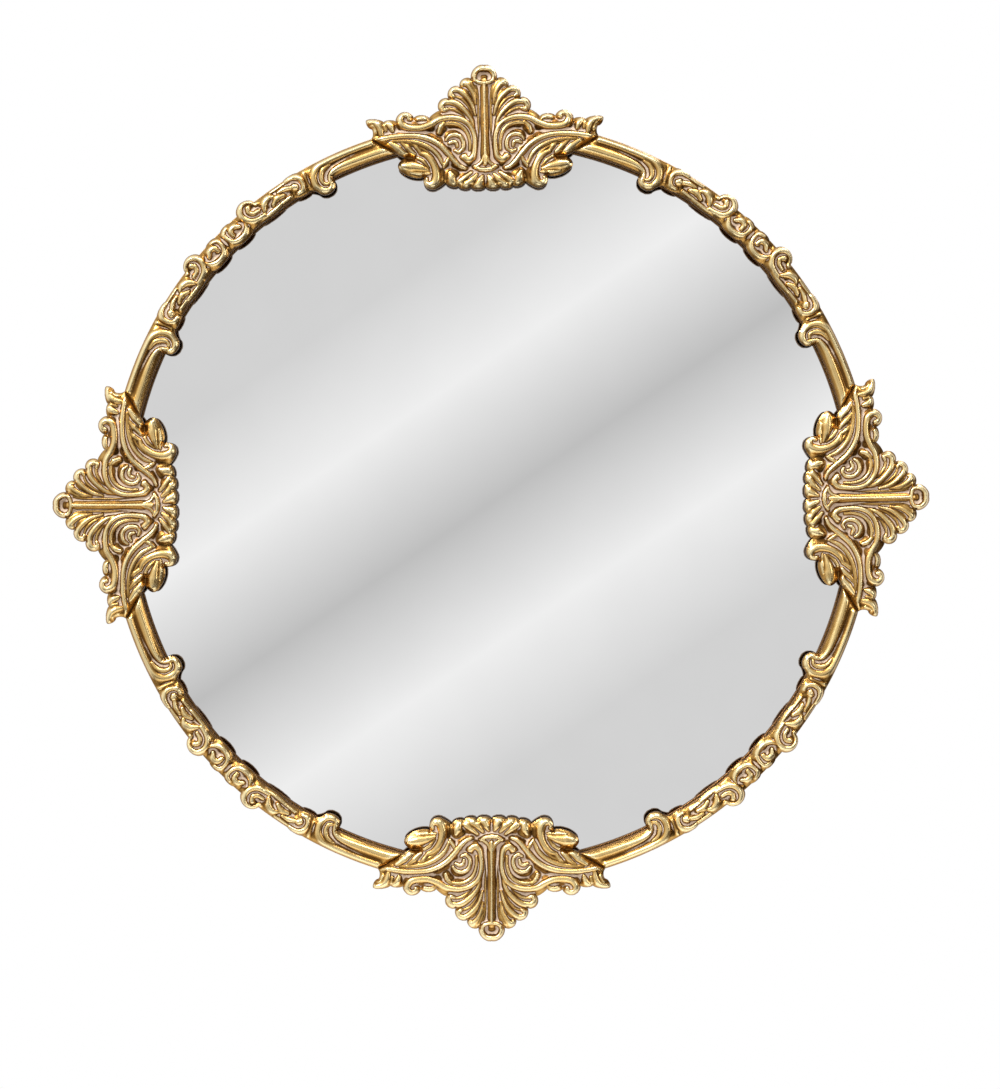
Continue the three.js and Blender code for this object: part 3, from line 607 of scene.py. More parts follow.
def relief_mesh(name, x, y, height, inward, marks, back, to_world):
    """The mesh of a carving, from its grids. Points on its rim are drawn onto its outline."""
    keep = inward > -SNAP * GRAIN
    cells = keep[:-1, :-1] & keep[1:, :-1] & keep[:-1, 1:] & keep[1:, 1:]
    start = np.unravel_index(np.argmax(inward[:-1, :-1]), cells.shape)
    cells = one_patch(cells, start)
    slope_y, slope_x = np.gradient(inward, GRAIN)
    steep = np.maximum(slope_x**2 + slope_y**2, 0.25)
    used = np.zeros(keep.shape, int)
    for dy in (0, 1):
        for dx in (0, 1):
            used[dy : dy + cells.shape[0], dx : dx + cells.shape[1]] += cells
    rim = (used > 0) & (used < 4)
    x = np.where(rim, x - inward * slope_x / steep, x)
    y = np.where(rim, y - inward * slope_y / steep, y)

    index = np.full(keep.shape, -1)
    index[used > 0] = np.arange((used > 0).sum())
    count = int((used > 0).sum())
    quads = np.stack([index[:-1, :-1], index[:-1, 1:], index[1:, 1:], index[1:, :-1]], axis=-1)[cells]
    flat = used > 0
    front = np.stack([x[flat], y[flat], back + height[flat]], axis=-1)

    # the rim's edges are the quads' edges that belong to one quad only
    edges = np.concatenate([quads[:, [i, (i + 1) % 4]] for i in range(4)])
    key = np.sort(edges, axis=1)
    _, first, shared = np.unique(key, axis=0, return_index=True, return_counts=True)
    open_edges = edges[first[shared == 1]]
    follow = {int(a): int(b) for a, b in open_edges}
    loop = [int(open_edges[0][0])]
    while follow[loop[-1]] != loop[0]:
        loop.append(follow[loop[-1]])
    if len(loop) != len(follow):
        raise SystemExit(f"{name}: its rim isn't one loop: {len(loop)} of {len(follow)}")
    ring = np.array(loop)
    low = front[ring] * (1, 1, 0) + (0, 0, back)
    middle = (front[ring] + low) / 2
    total = np.vstack([front, middle, low])
    n = len(ring)
    sides = []
    for i in range(n):
        j = (i + 1) % n
        sides.append((loop[j], loop[i], count + i, count + j))
        sides.append((count + j, count + i, count + n + i, count + n + j))
    low_points = np.full(count, -1)
    low_points[ring] = np.arange(count + n, count + 2 * n)
    number = np.full(keep.shape, -1)
    number[flat] = low_points
    faces = [tuple(int(v) for v in q) for q in quads] + sides + back_strips(cells, number)

    made = mesh_object(name, to_world(total), faces, GILT)
    made.data.polygons.foreach_set("use_smooth", [i < len(quads) + len(sides) for i in range(len(faces))])
    for label, values in marks.items():
        front_values = values[flat]
        # on the walls, the side mark rises to full painted shade at the back, and the others fall to
        # nothing
        last = float(label == "side")
        mark_points(made, label, front_values, (front_values[ring] + last) / 2, np.full(n, last))
    sharp = made.data.attributes.new("sharp_edge", "BOOLEAN", "EDGE")
    lowest = count + n
    pairs = np.empty(len(made.data.edges) * 2, int)
    made.data.edges.foreach_get("vertices", pairs)
    pairs = pairs.reshape(-1, 2)
    sharp.data.foreach_set("value", ((pairs >= lowest).all(axis=1)))
    return made


def straight(angle):
    """Turns a cartouche's drawing, across and out from the ring's centre, to its place on the ring."""
    turn = math.radians(angle - 90)
    c, s = math.cos(turn), math.sin(turn)

    def to_world(points):
        across, out, depth = points.T
        return np.stack([across * c - out * s, -depth, across * s + out * c], axis=-1)

    return to_world


def bent(middle):
    """Bends a moulding's drawing, along the ring and out from its centre, round the ring."""

    def to_world(points):
        along, out, depth = points.T
        angle = math.radians(middle) - along / PITCH
        return np.stack([out * np.cos(angle), -depth, out * np.sin(angle)], axis=-1)

    return to_world


# ---------------------------------------------------------------- cartouches
def cartouche_end(up):
    return CARTOUCHE_HALF_WIDTH + CARTOUCHE_END_SLOPE * up


def end_crossing(radius):
    angle = cartouche_end(radius - PITCH) / PITCH
    return (radius * math.sin(angle), radius * math.cos(angle))


# Right half of the outline, clockwise from the top: (across, out from the ring's centre, rise)
CARTOUCHE_TOP = (0, 363.7)
CARTOUCHE_EDGE = [
    (10.6, 352.4, 3.9),
    (20.4, 346.2, 3.6),
    (29.8, 336.4, 4.6),
    (37.6, 326.3, 4.6),
    (46.0, 320.4, 0.8),
    (58.6, 320.8, 2.4),
    (74.0, 318.0, 6.4),
    (84.0, 317.6, 1.4),
    (98.4, 319.2, 1.8),
    (94.4, 312.0, 1.6),
    (*end_crossing(RING_RADIUS), -1.4),
    (*end_crossing(SIGHT_RADIUS), 0.0),
    (60.0, 287.2, 1.6),
    (72.6, 280.2, 3.6),
    (51.0, 271.8, 4.2),
    (40.0, 262.0, 5.6),
    (33.2, 266.6, 0.4),
    (22.8, 263.4, 2.2),
    (12.2, 262.6, 2.3),
    (0.0, 262.8, 2.6),
]

# Each strand: its line, its half width along it and its height along it
CARTOUCHE_STRANDS = [
    # stem: a rod on a broader rib, with fillets beside it and a flared foot
    ([(0, 349), (0, 330), (0, 300), (0, 283)], [2.9, 2.7, 2.7, 3.2], [5.2, 5.4, 5.6, 5.8]),
    ([(0, 348), (0, 330), (0, 300), (0, 281)], [1.5, 1.15, 1.2, 1.7], [7.2, 7.6, 8.0, 8.2]),
    (
        [(7.0, 346.4), (5.6, 341), (5.2, 318), (5.4, 300), (7.0, 289)],
        [0.8, 0.8, 0.8, 0.8, 0.7],
        [4.0, 3.8, 3.6, 3.4, 3.0],
    ),
    ([(1.2, 288), (3.0, 282.6), (7.4, 279.2)], [1.2, 1.5, 1.3], [7.2, 7.2, 6.0]),
    ([(0, 276.4), (5.0, 277.0), (8.8, 279.4)], [1.8, 1.6, 1.2], [8.2, 7.2, 5.8]),
    # knob: an arch that curls round an open eye
    (
        [(0, 360.4), (4.4, 359.8), (7.4, 357.0), (8.2, 353.2), (6.6, 350.0), (3.4, 348.6), (0, 348.2)],
        [1.6, 1.7, 1.7, 1.6, 1.5, 1.4, 1.4],
        [7.6, 7.8, 7.4, 7.0, 6.6, 6.8, 7.2],
    ),
    # fronds, each a curled outer rib with a slighter one inside it
    ([(6.6, 336), (8.0, 343), (11.4, 349.2)], [0.9, 1.4, 1.9], [3.6, 4.8, 5.0]),
    (
        [(7.4, 331), (9.4, 340), (13.4, 346.6), (17.4, 349.2), (18.6, 346.8)],
        [0.9, 1.5, 1.9, 2.2, 1.7],
        [4.0, 5.4, 6.0, 6.2, 5.4],
    ),
    ([(9.2, 330), (12.2, 338), (16.2, 343), (18.8, 343.4)], [0.8, 1.2, 1.4, 1.0], [3.6, 4.6, 4.8, 4.0]),
    (
        [
            (7.8, 322), (10.8, 331.6), (16.2, 338.8), (22.4, 343.2), (27.0, 342.4), (27.6, 338.8),
            (25.4, 337.4),
        ],
        [0.9, 1.4, 1.8, 2.1, 2.1, 1.9, 1.5],
        [4.0, 5.4, 6.2, 6.6, 6.6, 6.2, 5.6],
    ),
    (
        [(10.0, 321), (13.6, 329.4), (18.6, 335.2), (22.8, 337.0)],
        [0.8, 1.2, 1.4, 1.1],
        [3.6, 4.6, 4.8, 4.2],
    ),
    (
        [
            (8.8, 311), (12.0, 319.6), (18.0, 327.2), (25.6, 332.4), (32.4, 332.8), (35.4, 329.4),
            (33.8, 326.2), (31.2, 327),
        ],
        [1.0, 1.5, 1.9, 2.2, 2.3, 2.2, 1.9, 1.4],
        [4.4, 5.8, 6.6, 7.0, 7.0, 6.6, 6.0, 5.4],
    ),
    (
        [(12.6, 315), (18.0, 321.8), (24.8, 326.6), (29.2, 327.6)],
        [0.9, 1.3, 1.5, 1.1],
        [3.8, 4.8, 5.0, 4.4],
    ),
    # arm: a long S with a curl at each end
    (
        [
            (17.6, 287.2), (14.0, 284.8), (10.2, 287.6), (8.6, 296), (9.0, 305.6), (12.4, 313.2),
            (19.2, 318.2), (28.2, 320.0), (37.0, 318.8), (44.8, 314.8), (52.2, 312.0), (60.4, 311.6),
            (67.2, 313.8), (70.0, 318.6), (67.6, 322.6), (63.6, 322.2), (62.8, 319.4),
        ],
        [2.3, 2.2, 1.9, 1.7, 1.8, 1.9, 2.0, 2.1, 2.1, 2.1, 2.2, 2.3, 2.4, 2.4, 2.4, 2.1, 1.5],
        [6.4, 6.6, 6.4, 6.6, 6.8, 7.0, 7.2, 7.2, 7.0, 6.8, 6.6, 6.6, 6.8, 7.0, 7.0, 6.4, 5.4],
    ),
    (
        [(12.6, 293), (12.6, 301), (15.0, 308.4), (20.4, 313.6), (28.0, 315.6), (35.4, 314.2)],
        [1.1, 1.4, 1.5, 1.6, 1.6, 1.1],
        [4.4, 5.2, 5.4, 5.4, 5.2, 4.4],
    ),
    ([(33.2, 315.8), (36.6, 312.4), (38.2, 307.6)], [1.6, 1.9, 1.2], [5.0, 5.4, 4.2]),
    # curl inside the arm
    (
        [
            (32.2, 301.4), (29.0, 305.0), (24.2, 305.8), (19.8, 303.4), (17.8, 298.8), (18.8, 293.8),
            (22.0, 291.4), (25.0, 292.6),
        ],
        [1.0, 1.5, 1.6, 1.6, 1.6, 1.5, 1.4, 1.1],
        [4.4, 5.6, 6.2, 6.2, 6.0, 5.8, 5.4, 4.8],
    ),
    (
        [(30.0, 298.8), (26.8, 300.2), (23.8, 299.0), (23.0, 296.0)],
        [1.1, 1.4, 1.4, 1.1],
        [4.6, 5.4, 5.6, 5.0],
    ),
    # leaf that lies along the ring and sweeps down to the foot
    (
        [
            (92, 301.4), (84, 303.6), (74, 305.0), (64, 305.4), (54, 304.6), (45, 301.8), (37, 296.8),
            (30.6, 290), (25.4, 283.6), (21, 279.6), (17, 277.8),
        ],
        [1.3, 1.7, 1.9, 2.0, 2.1, 2.1, 2.1, 2.1, 2.0, 1.8, 1.3],
        [4.4, 5.6, 6.4, 7.0, 7.4, 7.8, 7.8, 7.4, 7.0, 6.4, 5.2],
    ),
    (
        [(76, 301.2), (64, 301.0), (54, 299.0), (45.4, 294.8), (39, 288.8), (35.4, 281.6)],
        [1.3, 1.7, 1.9, 2.0, 1.9, 1.3],
        [4.6, 5.6, 6.2, 6.4, 6.0, 4.6],
    ),
    (
        [(66, 298.4), (56, 296.2), (48, 291.8), (43.0, 286.4), (40.4, 280.4)],
        [1.0, 1.2, 1.3, 1.3, 1.0],
        [4.2, 4.8, 5.2, 5.2, 4.4],
    ),
    ([(29.6, 287.6), (31.8, 283.6), (34.6, 279.4)], [1.3, 1.5, 1.0], [5.8, 5.8, 4.4]),
    # lobes under the leaf
    ([(61, 299.6), (56.6, 295.8), (53.2, 291.0)], [1.2, 1.9, 1.5], [4.6, 5.8, 5.0]),
    ([(69.6, 300.0), (64.2, 295.6), (59.4, 290.4)], [1.4, 2.1, 1.8], [4.8, 6.0, 5.2]),
    ([(78.6, 299.6), (72.4, 295.4), (66.4, 289.4)], [1.6, 2.5, 2.3], [4.8, 6.0, 5.4]),
    # hooked leaf with its bud
    (
        [
            (53.4, 291.0), (48.6, 288.8), (44.2, 284), (41.4, 277.4), (40.8, 270.4), (43.2, 265.2),
            (47.8, 263.8), (50.6, 266.4), (49.2, 269.4),
        ],
        [1.6, 2.2, 2.5, 2.5, 2.7, 2.9, 2.9, 2.6, 1.6],
        [5.0, 6.2, 6.8, 7.0, 7.2, 7.2, 7.0, 6.4, 5.4],
    ),
    ([(56.0, 287.0), (51.4, 284.0), (46.8, 278.6)], [1.2, 1.7, 1.3], [4.6, 5.4, 4.6]),
    (
        [(47, 276.4), (54, 278.6), (61.5, 280.0), (68.4, 280.4)],
        [1.1, 2.7, 3.5, 2.4],
        [5.4, 7.4, 8.0, 6.4],
    ),
    ([(46, 274.0), (54, 273.8), (62, 274.8)], [0.9, 1.3, 0.9], [5.2, 5.8, 4.8]),
    # gadroons and the small bud beside them
    ([(2.4, 271.4), (4.6, 266.8), (6.2, 263.6)], [1.2, 2.5, 2.9], [4.8, 6.6, 6.4]),
    ([(7.0, 272.6), (11.2, 267.8), (15.4, 264.4)], [1.2, 2.4, 2.8], [4.8, 6.4, 6.2]),
    ([(11.8, 274.2), (16.6, 270.2), (21.2, 266.6)], [1.1, 2.0, 2.3], [4.6, 6.0, 5.8]),
    ([(29.4, 274.2), (28.0, 269.8), (26.8, 266.2)], [1.6, 2.9, 2.2], [5.2, 6.8, 5.6]),
    # tufts on the ear
    (
        [(85.4, 306.6), (86.8, 312.0), (89.8, 316.0), (94.2, 317.8), (96.8, 317.4)],
        [1.6, 2.2, 2.2, 1.8, 1.2],
        [4.6, 5.8, 6.0, 5.4, 4.6],
    ),
    ([(90.8, 309.6), (92.8, 313.6)], [1.4, 1.5], [4.4, 4.6]),
    ([(76.6, 309.4), (78.2, 313.6), (80.6, 316.4)], [1.4, 2.2, 1.8], [4.6, 5.8, 5.2]),
    ([(82.2, 310.4), (83.2, 315.0)], [1.3, 1.4], [4.4, 4.8]),
    ([(46.8, 318.2), (51.0, 320.2), (55.6, 319.2)], [1.3, 2.0, 1.3], [4.2, 5.0, 4.2]),
]


def cartouches():
    for side, angle in CARTOUCHES.items():
        name = f"cartouche_{side}"
        back, _ = depth_of(name)
        edge = arc_line(CARTOUCHE_TOP, CARTOUCHE_EDGE)
        heights = (CARTOUCHE_GROUND, CARTOUCHE_RIM, back)
        made = relief(f"carved_{name}", edge, CARTOUCHE_STRANDS, heights, straight(angle))
        place(made, "frame", "gilt_casting", name)


# ---------------------------------------------------------------- ring mouldings
TOP_EDGE = RING_RADIUS - MOULDING_INSET
FOOT_EDGE = SIGHT_RADIUS + MOULDING_INSET


def moulding_drawing(reach):
    """Half a moulding: its outline and strands, along the ring from its middle, and out from the centre.
    reach is the arc from its middle to the next cartouche's centre line."""
    outer_end = reach - cartouche_end(TOP_EDGE - PITCH) - CASTING_JOINT
    inner_end = reach - cartouche_end(FOOT_EDGE - PITCH) - CASTING_JOINT
    edge = arc_line(
        (0, TOP_EDGE),
        [
            (3.0, TOP_EDGE, 0.0),
            (14.0, TOP_EDGE, 1.6),
            (21.6, TOP_EDGE, 0.0),
            (40.0, TOP_EDGE, 6.8),
            (68.0, TOP_EDGE, 0.0),
            (82.0, TOP_EDGE, 1.6),
            (outer_end, TOP_EDGE, 0.0),
            (inner_end, FOOT_EDGE, 0.0),
            (106.4, FOOT_EDGE, 0.0),
            (106.0, 294.6, 0.8),
            (89.6, 294.2, 4.9),
            (84.0, 299.6, -0.6),
            (70.6, FOOT_EDGE, 1.5),
            (58.0, FOOT_EDGE, 0.0),
            (34.0, FOOT_EDGE, 1.6),
            (24.5, FOOT_EDGE, 0.0),
            (3.5, FOOT_EDGE, 2.9),
            (0.0, FOOT_EDGE, 0.0),
        ],
    )
    strands = [
        # cup
        (
            [
                (8.4, 316.6), (4.2, 314.6), (3.4, 310.0), (5.4, 304.6), (10.8, 302.0), (17.0, 302.4),
                (21.8, 305.6), (24.0, 310.4),
            ],
            [1.2, 1.5, 1.6, 1.8, 1.9, 1.8, 1.5, 1.0],
            [4.6, 5.4, 5.8, 6.0, 6.2, 5.8, 5.2, 4.4],
        ),
        (
            [(8.8, 307.8), (9.8, 312.0), (14.0, 312.8), (18.0, 309.8)],
            [1.8, 2.1, 1.9, 1.3],
            [5.4, 6.2, 6.0, 5.0],
        ),
        # ball scroll
        (
            [
                (40.0, 316.2), (38.2, 320.2), (34.0, 322.4), (28.4, 321.2), (25.2, 316.8),
                (25.4, 311.0), (28.8, 306.4), (34.2, 304.2), (40.6, 303.8),
            ],
            [1.4, 1.7, 1.9, 2.0, 2.1, 2.1, 2.0, 1.8, 1.3],
            [5.0, 6.2, 6.8, 7.2, 7.2, 6.8, 6.4, 5.8, 4.8],
        ),
        (
            [(32.6, 317.0), (31.0, 313.6), (33.4, 310.4), (38.8, 309.4)],
            [2.0, 1.9, 1.7, 1.3],
            [6.0, 5.8, 5.4, 4.6],
        ),
        # leaves between the scrolls
        (
            [(42.2, 306.4), (45.4, 311.0), (51.0, 313.0), (54.6, 311.8)],
            [1.5, 2.3, 2.2, 1.3],
            [4.8, 6.2, 6.0, 4.8],
        ),
        ([(51.4, 306.2), (56.6, 308.6), (62.4, 307.8)], [1.5, 2.2, 1.5], [4.6, 5.6, 4.8]),
        (
            [(36, 301.8), (47, 301.6), (58, 302.4), (67, 303.6)],
            [1.2, 1.5, 1.4, 1.0],
            [3.8, 4.4, 4.4, 3.8],
        ),
        # ear scroll with its ball
        (
            [
                (54.8, 316.4), (62, 316.4), (70, 317.0), (76.6, 316.2), (81.0, 312.4), (81.4, 307.0),
                (78.6, 302.9), (74.4, 302.4),
            ],
            [1.0, 1.3, 1.5, 1.8, 2.0, 2.0, 1.8, 1.4],
            [4.4, 5.0, 5.4, 6.2, 6.6, 6.4, 5.8, 5.0],
        ),
        ([(60.0, 312.0), (66.4, 311.6), (71.6, 309.6)], [1.2, 1.7, 1.5], [4.6, 5.4, 5.4]),
        ([(74.0, 308.8), (75.2, 307.8)], [2.3, 2.2], [7.0, 6.8]),
        ([(86.4, 316.2), (85.6, 309.4), (85.0, 303.0)], [1.0, 1.2, 1.0], [3.4, 3.6, 3.4]),
        # volute that hangs over the glass and runs on as the outer reed
        (
            [
                (outer_end - 1.5, 315.0), ((outer_end + 108) / 2, 315.0), (108, 315.0), (99.4, 313.6),
                (93.0, 309.0), (90.6, 302.2), (92.0, 295.8), (96.0, 292.6), (100.8, 292.4),
                (103.8, 295.2),
            ],
            [2.0, 2.0, 2.1, 2.5, 2.6, 2.6, 2.6, 2.5, 2.4, 2.0],
            [4.2, 4.2, 4.4, 5.2, 5.8, 6.2, 6.2, 6.0, 5.6, 4.8],
        ),
        (
            [(107.6, 311.0), (101.0, 309.2), (97.0, 303.8), (97.2, 298.8), (99.8, 297.2)],
            [1.2, 1.8, 1.9, 1.7, 1.2],
            [4.2, 5.2, 5.4, 5.0, 4.6],
        ),
        (
            [
                (inner_end - 4, 305.4), ((inner_end + 112) / 2, 305.4), (112, 305.4), (106.2, 303.4),
                (103.4, 299.6), (102.4, 296.6),
            ],
            [2.5, 2.5, 2.5, 2.3, 1.8, 1.4],
            [4.2, 4.2, 4.4, 4.8, 4.8, 4.4],
        ),
        (
            [(inner_end - 2, 301.8), ((inner_end + 112) / 2, 301.8), (111, 301.8)],
            [0.9, 0.9, 0.9],
            [2.0, 2.0, 2.0],
        ),
    ]
    return edge, strands


def ring_mouldings():
    sides = list(CARTOUCHES)
    for i, side in enumerate(sides):
        other = sides[(i + 1) % len(sides)]
        gap = (CARTOUCHES[other] - CARTOUCHES[side]) % 360
        name = f"ring_moulding_{side}_to_{other}"
        back, _ = depth_of(name)
        edge, strands = moulding_drawing(math.radians(gap / 2) * PITCH)
        heights = (MOULDING_GROUND, MOULDING_RIM, back)
        made = relief(f"carved_{name}", edge, strands, heights, bent(CARTOUCHES[side] + gap / 2))
        place(made, "frame", "gilt_casting", name)


# ---------------------------------------------------------------- ring, glass, cushion and panel
RING_EDGE = 1.1  # roundings of the turned pieces' edges
TAPE_EDGE = 1.0
PANEL_EDGE = 1.2
PAD_EDGE = 1.2
RING_SIDES = 360
TURNED_SIDES = 240
PAD_SIDES = 48
DOME_STEPS = 48


def ring_and_glass():
    lip_back = RING_FRONT - RING_LIP
    section = [
        (BORE_RADIUS, RING_BACK),
        (RING_RADIUS, RING_BACK),
        (RING_RADIUS, RING_FRONT),
        (SIGHT_RADIUS, RING_FRONT),
        (SIGHT_RADIUS, lip_back),
        (BORE_RADIUS, lip_back),
    ]
    ring = turned("turned_frame_ring", rounded(section, RING_EDGE), RING_SIDES, RING_GILT)
    place(ring, "frame", "gilt_ring", "frame_ring")

    back, _ = depth_of("mirror_glass")
    sphere = (GLASS_RADIUS**2 + GLASS_RISE**2) / (2 * GLASS_RISE)
    radii = np.linspace(0, GLASS_RADIUS, DOME_STEPS + 1)
    dome = np.sqrt(sphere**2 - radii**2) - (sphere - GLASS_RISE)
    face = [(r, back + GLASS_THICKNESS + h) for r, h in zip(radii, dome)]
    rear = [(r, back + h) for r, h in zip(radii, dome)]
    glass = turned("domed_mirror_glass", face + rear[::-1], TURNED_SIDES, MIRROR)
    place(glass, "frame", "silvered_glass", "mirror_glass")

    back, front = depth_of("glass_cushion")
    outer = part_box("glass_cushion")[1][0] / MM
    inner = outer - TAPE_WIDTH
    tape = [(inner, back), (outer, back), (outer, front), (inner, front)]
    cushion = turned("foam_cushion", rounded(tape, TAPE_EDGE), TURNED_SIDES, FOAM)
    place(cushion, "frame", "black_foam", "glass_cushion")

    back, front = depth_of("back_panel")
    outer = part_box("back_panel")[1][0] / MM
    disc = [(0, back), (outer, back), (outer, front), (0, front)]
    board = turned("back_board", rounded(disc, PANEL_EDGE), TURNED_SIDES, PANEL)
    place(board, "frame", "painted_panel", "back_panel")


# ---------------------------------------------------------------- screws, made by geometry nodes
def screw_tree(material, sizes):
    """Pan heads on every point of a mesh, seated on the point and facing +Y, each with its recess."""
    tree = bpy.data.node_groups.new(f"screws_{material.name}", "GeometryNodeTree")
    sockets = tree.interface
    sockets.new_socket("Points", in_out="INPUT", socket_type="NodeSocketGeometry")
    for label, value in sizes.items():
        socket = sockets.new_socket(label, in_out="INPUT", socket_type="NodeSocketFloat")
        socket.default_value = value * MM
    sockets.new_socket("Screws", in_out="OUTPUT", socket_type="NodeSocketGeometry")
    given = node(tree, "NodeGroupInput").node.outputs
    radius, height, length = given["Head radius"], given["Head height"], given["Length"]

    # the head is the upper part of a flattened ball; with an odd number of rings, none of them lies in
    # the plane of its seat
    ball = node(tree, "GeometryNodeMeshUVSphere", {"Segments": 28, "Rings": 17, "Radius": radius})
    squeeze = node(tree, "ShaderNodeMath", (height, radius), operation="DIVIDE")
    flatten = node(tree, "ShaderNodeCombineXYZ", (1.0, 1.0, squeeze))
    ball = node(tree, "GeometryNodeTransform", {"Geometry": ball, "Scale": flatten})

    # what is cut off it: all that is under its seat, and two crossed bars for the recess, which differ a
    # little in depth, so that their floors don't share a plane
    wide = node(tree, "ShaderNodeMath", (radius, 3.0), operation="MULTIPLY")
    block = node(tree, "ShaderNodeCombineXYZ", (wide, wide, wide))
    under = node(tree, "GeometryNodeMeshCube", {"Size": block})
    sunk = node(tree, "ShaderNodeMath", (wide, -0.5), operation="MULTIPLY")
    drop = node(tree, "ShaderNodeCombineXYZ", {"Z": sunk})
    cut = [node(tree, "GeometryNodeTransform", {"Geometry": under, "Translation": drop})]
    long = node(tree, "ShaderNodeMath", (radius, 1.15), operation="MULTIPLY")
    top = node(tree, "ShaderNodeCombineXYZ", {"Z": height})
    for across, depth in (((given["Recess width"], long), 1.1), ((long, given["Recess width"]), 1.04)):
        deep = node(tree, "ShaderNodeMath", (height, depth), operation="MULTIPLY")
        size = node(tree, "ShaderNodeCombineXYZ", (*across, deep))
        bar = node(tree, "GeometryNodeMeshCube", {"Size": size})
        cut.append(node(tree, "GeometryNodeTransform", {"Geometry": bar, "Translation": top}))
    head = node(tree, "GeometryNodeMeshBoolean", {"Mesh 1": ball, "Mesh 2": cut}, operation="DIFFERENCE")

    # the shank runs down from just over the head's seat
    shank = {"Vertices": 16, "Radius": given["Shank radius"], "Depth": length}
    shank = node(tree, "GeometryNodeMeshCylinder", shank)
    sink = node(tree, "ShaderNodeMath", (length, -0.498), operation="MULTIPLY")
    sink = node(tree, "ShaderNodeCombineXYZ", {"Z": sink})
    shank = node(tree, "GeometryNodeTransform", {"Geometry": shank, "Translation": sink})
    whole = node(tree, "GeometryNodeMeshBoolean", {"Mesh 2": [head, shank]}, operation="UNION")

    # local +Z becomes +Y, out of the back; each head stops at a turn of its own
    turned_by = {TURN_LIMIT: math.pi / 2, "Seed": 4}
    turn = node(tree, "FunctionNodeRandomValue", turned_by, TURN, data_type="FLOAT")
    facing = node(tree, "ShaderNodeCombineXYZ", {"X": -math.pi / 2, "Y": turn})
    seats = {"Points": given["Points"], "Instance": whole, "Rotation": facing}
    placed = node(tree, "GeometryNodeInstanceOnPoints", seats)
    real = node(tree, "GeometryNodeRealizeInstances", {"Geometry": placed})
    done = node(tree, "GeometryNodeSetMaterial", {"Geometry": real, "Material": material})
    node(tree, "NodeGroupOutput", {"Screws": done})
    return tree


def screws(name, nodes, slot, material):
    """One mesh of the screws that stand for these nodes, each in its own box."""
    boxes = [box_mm(n) for n in nodes]
    low, high = boxes[0]
    sizes = {
        "Head radius": (high[0] - low[0]) / 2,
        "Head height": SCREW_HEAD_HEIGHT,
        "Shank radius": SCREW_SHANK_RADIUS,
        "Length": high[1] - low[1] - SCREW_HEAD_HEIGHT,
        "Recess width": RECESS_WIDTH,
    }
    seats = []
    for low, high in boxes:
        seats.append(((low[0] + high[0]) / 2, high[1] - SCREW_HEAD_HEIGHT, (low[2] + high[2]) / 2))
    made = mesh_object(name, seats, [], material)
    modifier = made.modifiers.new("screws", "NODES")
    modifier.node_group = screw_tree(material, sizes)
    bpy.context.view_layer.update()
    depsgraph = bpy.context.evaluated_depsgraph_get()
    mesh = bpy.data.meshes.new_from_object(made.evaluated_get(depsgraph))
    made.modifiers.remove(modifier)
    made.data = mesh
    outward(made)
    mesh.polygons.foreach_set("use_smooth", [True] * len(mesh.polygons))
    sharpen(made, 30)
    place(made, "frame", slot, *nodes)


# ---------------------------------------------------------------- hangers and pads
def wire(name, path, radius, sides, material):
    """Round wire along a path in millimetres, with closed ends."""
    points = np.array(path, float)
    ahead = np.gradient(points, axis=0)
    ahead /= np.linalg.norm(ahead, axis=1)[:, None]
    side = np.cross(ahead, (0, 1, 0))
    side /= np.linalg.norm(side, axis=1)[:, None]
    other = np.cross(side, ahead)
    angles = np.arange(sides) * 2 * math.pi / sides
    vertices = []
    for at, s, o in zip(points, side, other):
        for a in angles:
            vertices.append(at + radius * (math.cos(a) * s + math.sin(a) * o))
    faces = []
    for i in range(len(points) - 1):
        for k in range(sides):
            n = (k + 1) % sides
            faces.append((i * sides + k, i * sides + n, (i + 1) * sides + n, (i + 1) * sides + k))
    last = (len(points) - 1) * sides
    faces.append(tuple(range(sides)))
    faces.append(tuple(range(last + sides - 1, last - 1, -1)))
    made = mesh_object(name, vertices, faces, material)
    outward(made)
    sharpen(made, 50)
    return made


def hangers():
    for joint in frame["joints"]:
        side = "left" if "left" in joint["name"] else "right"
        bar = Vector(joint["pos_m"]) / MM
        half = D_WIDTH / 2
        outline = [(SEAM, 0.0)]
        for a in np.linspace(0, math.pi, 61):
            across = math.copysign(abs(math.cos(a)) ** D_FULLNESS, math.cos(a))
            outline.append((half * across, -D_DROP * math.sin(a) ** D_FULLNESS))
        outline.append((-SEAM, 0.0))
        path = smooth_line(outline, 0.8)
        _, high = box_mm(f"hanger_ring_{side}")
        foot = high[1] - WIRE_RADIUS - bar.y
        lean = math.asin(foot / D_DROP)
        back, up = math.sin(lean), math.cos(lean)
        ring_path = [(bar.x + x, bar.y - z * back, bar.z + z * up) for x, z in path]
        ring = wire(f"d_ring_{side}_wire", ring_path, WIRE_RADIUS, 20, ZINC)
        place(ring, f"d_ring_{side}", "zinc_plate", f"hanger_ring_{side}")
        strap(side, bar)


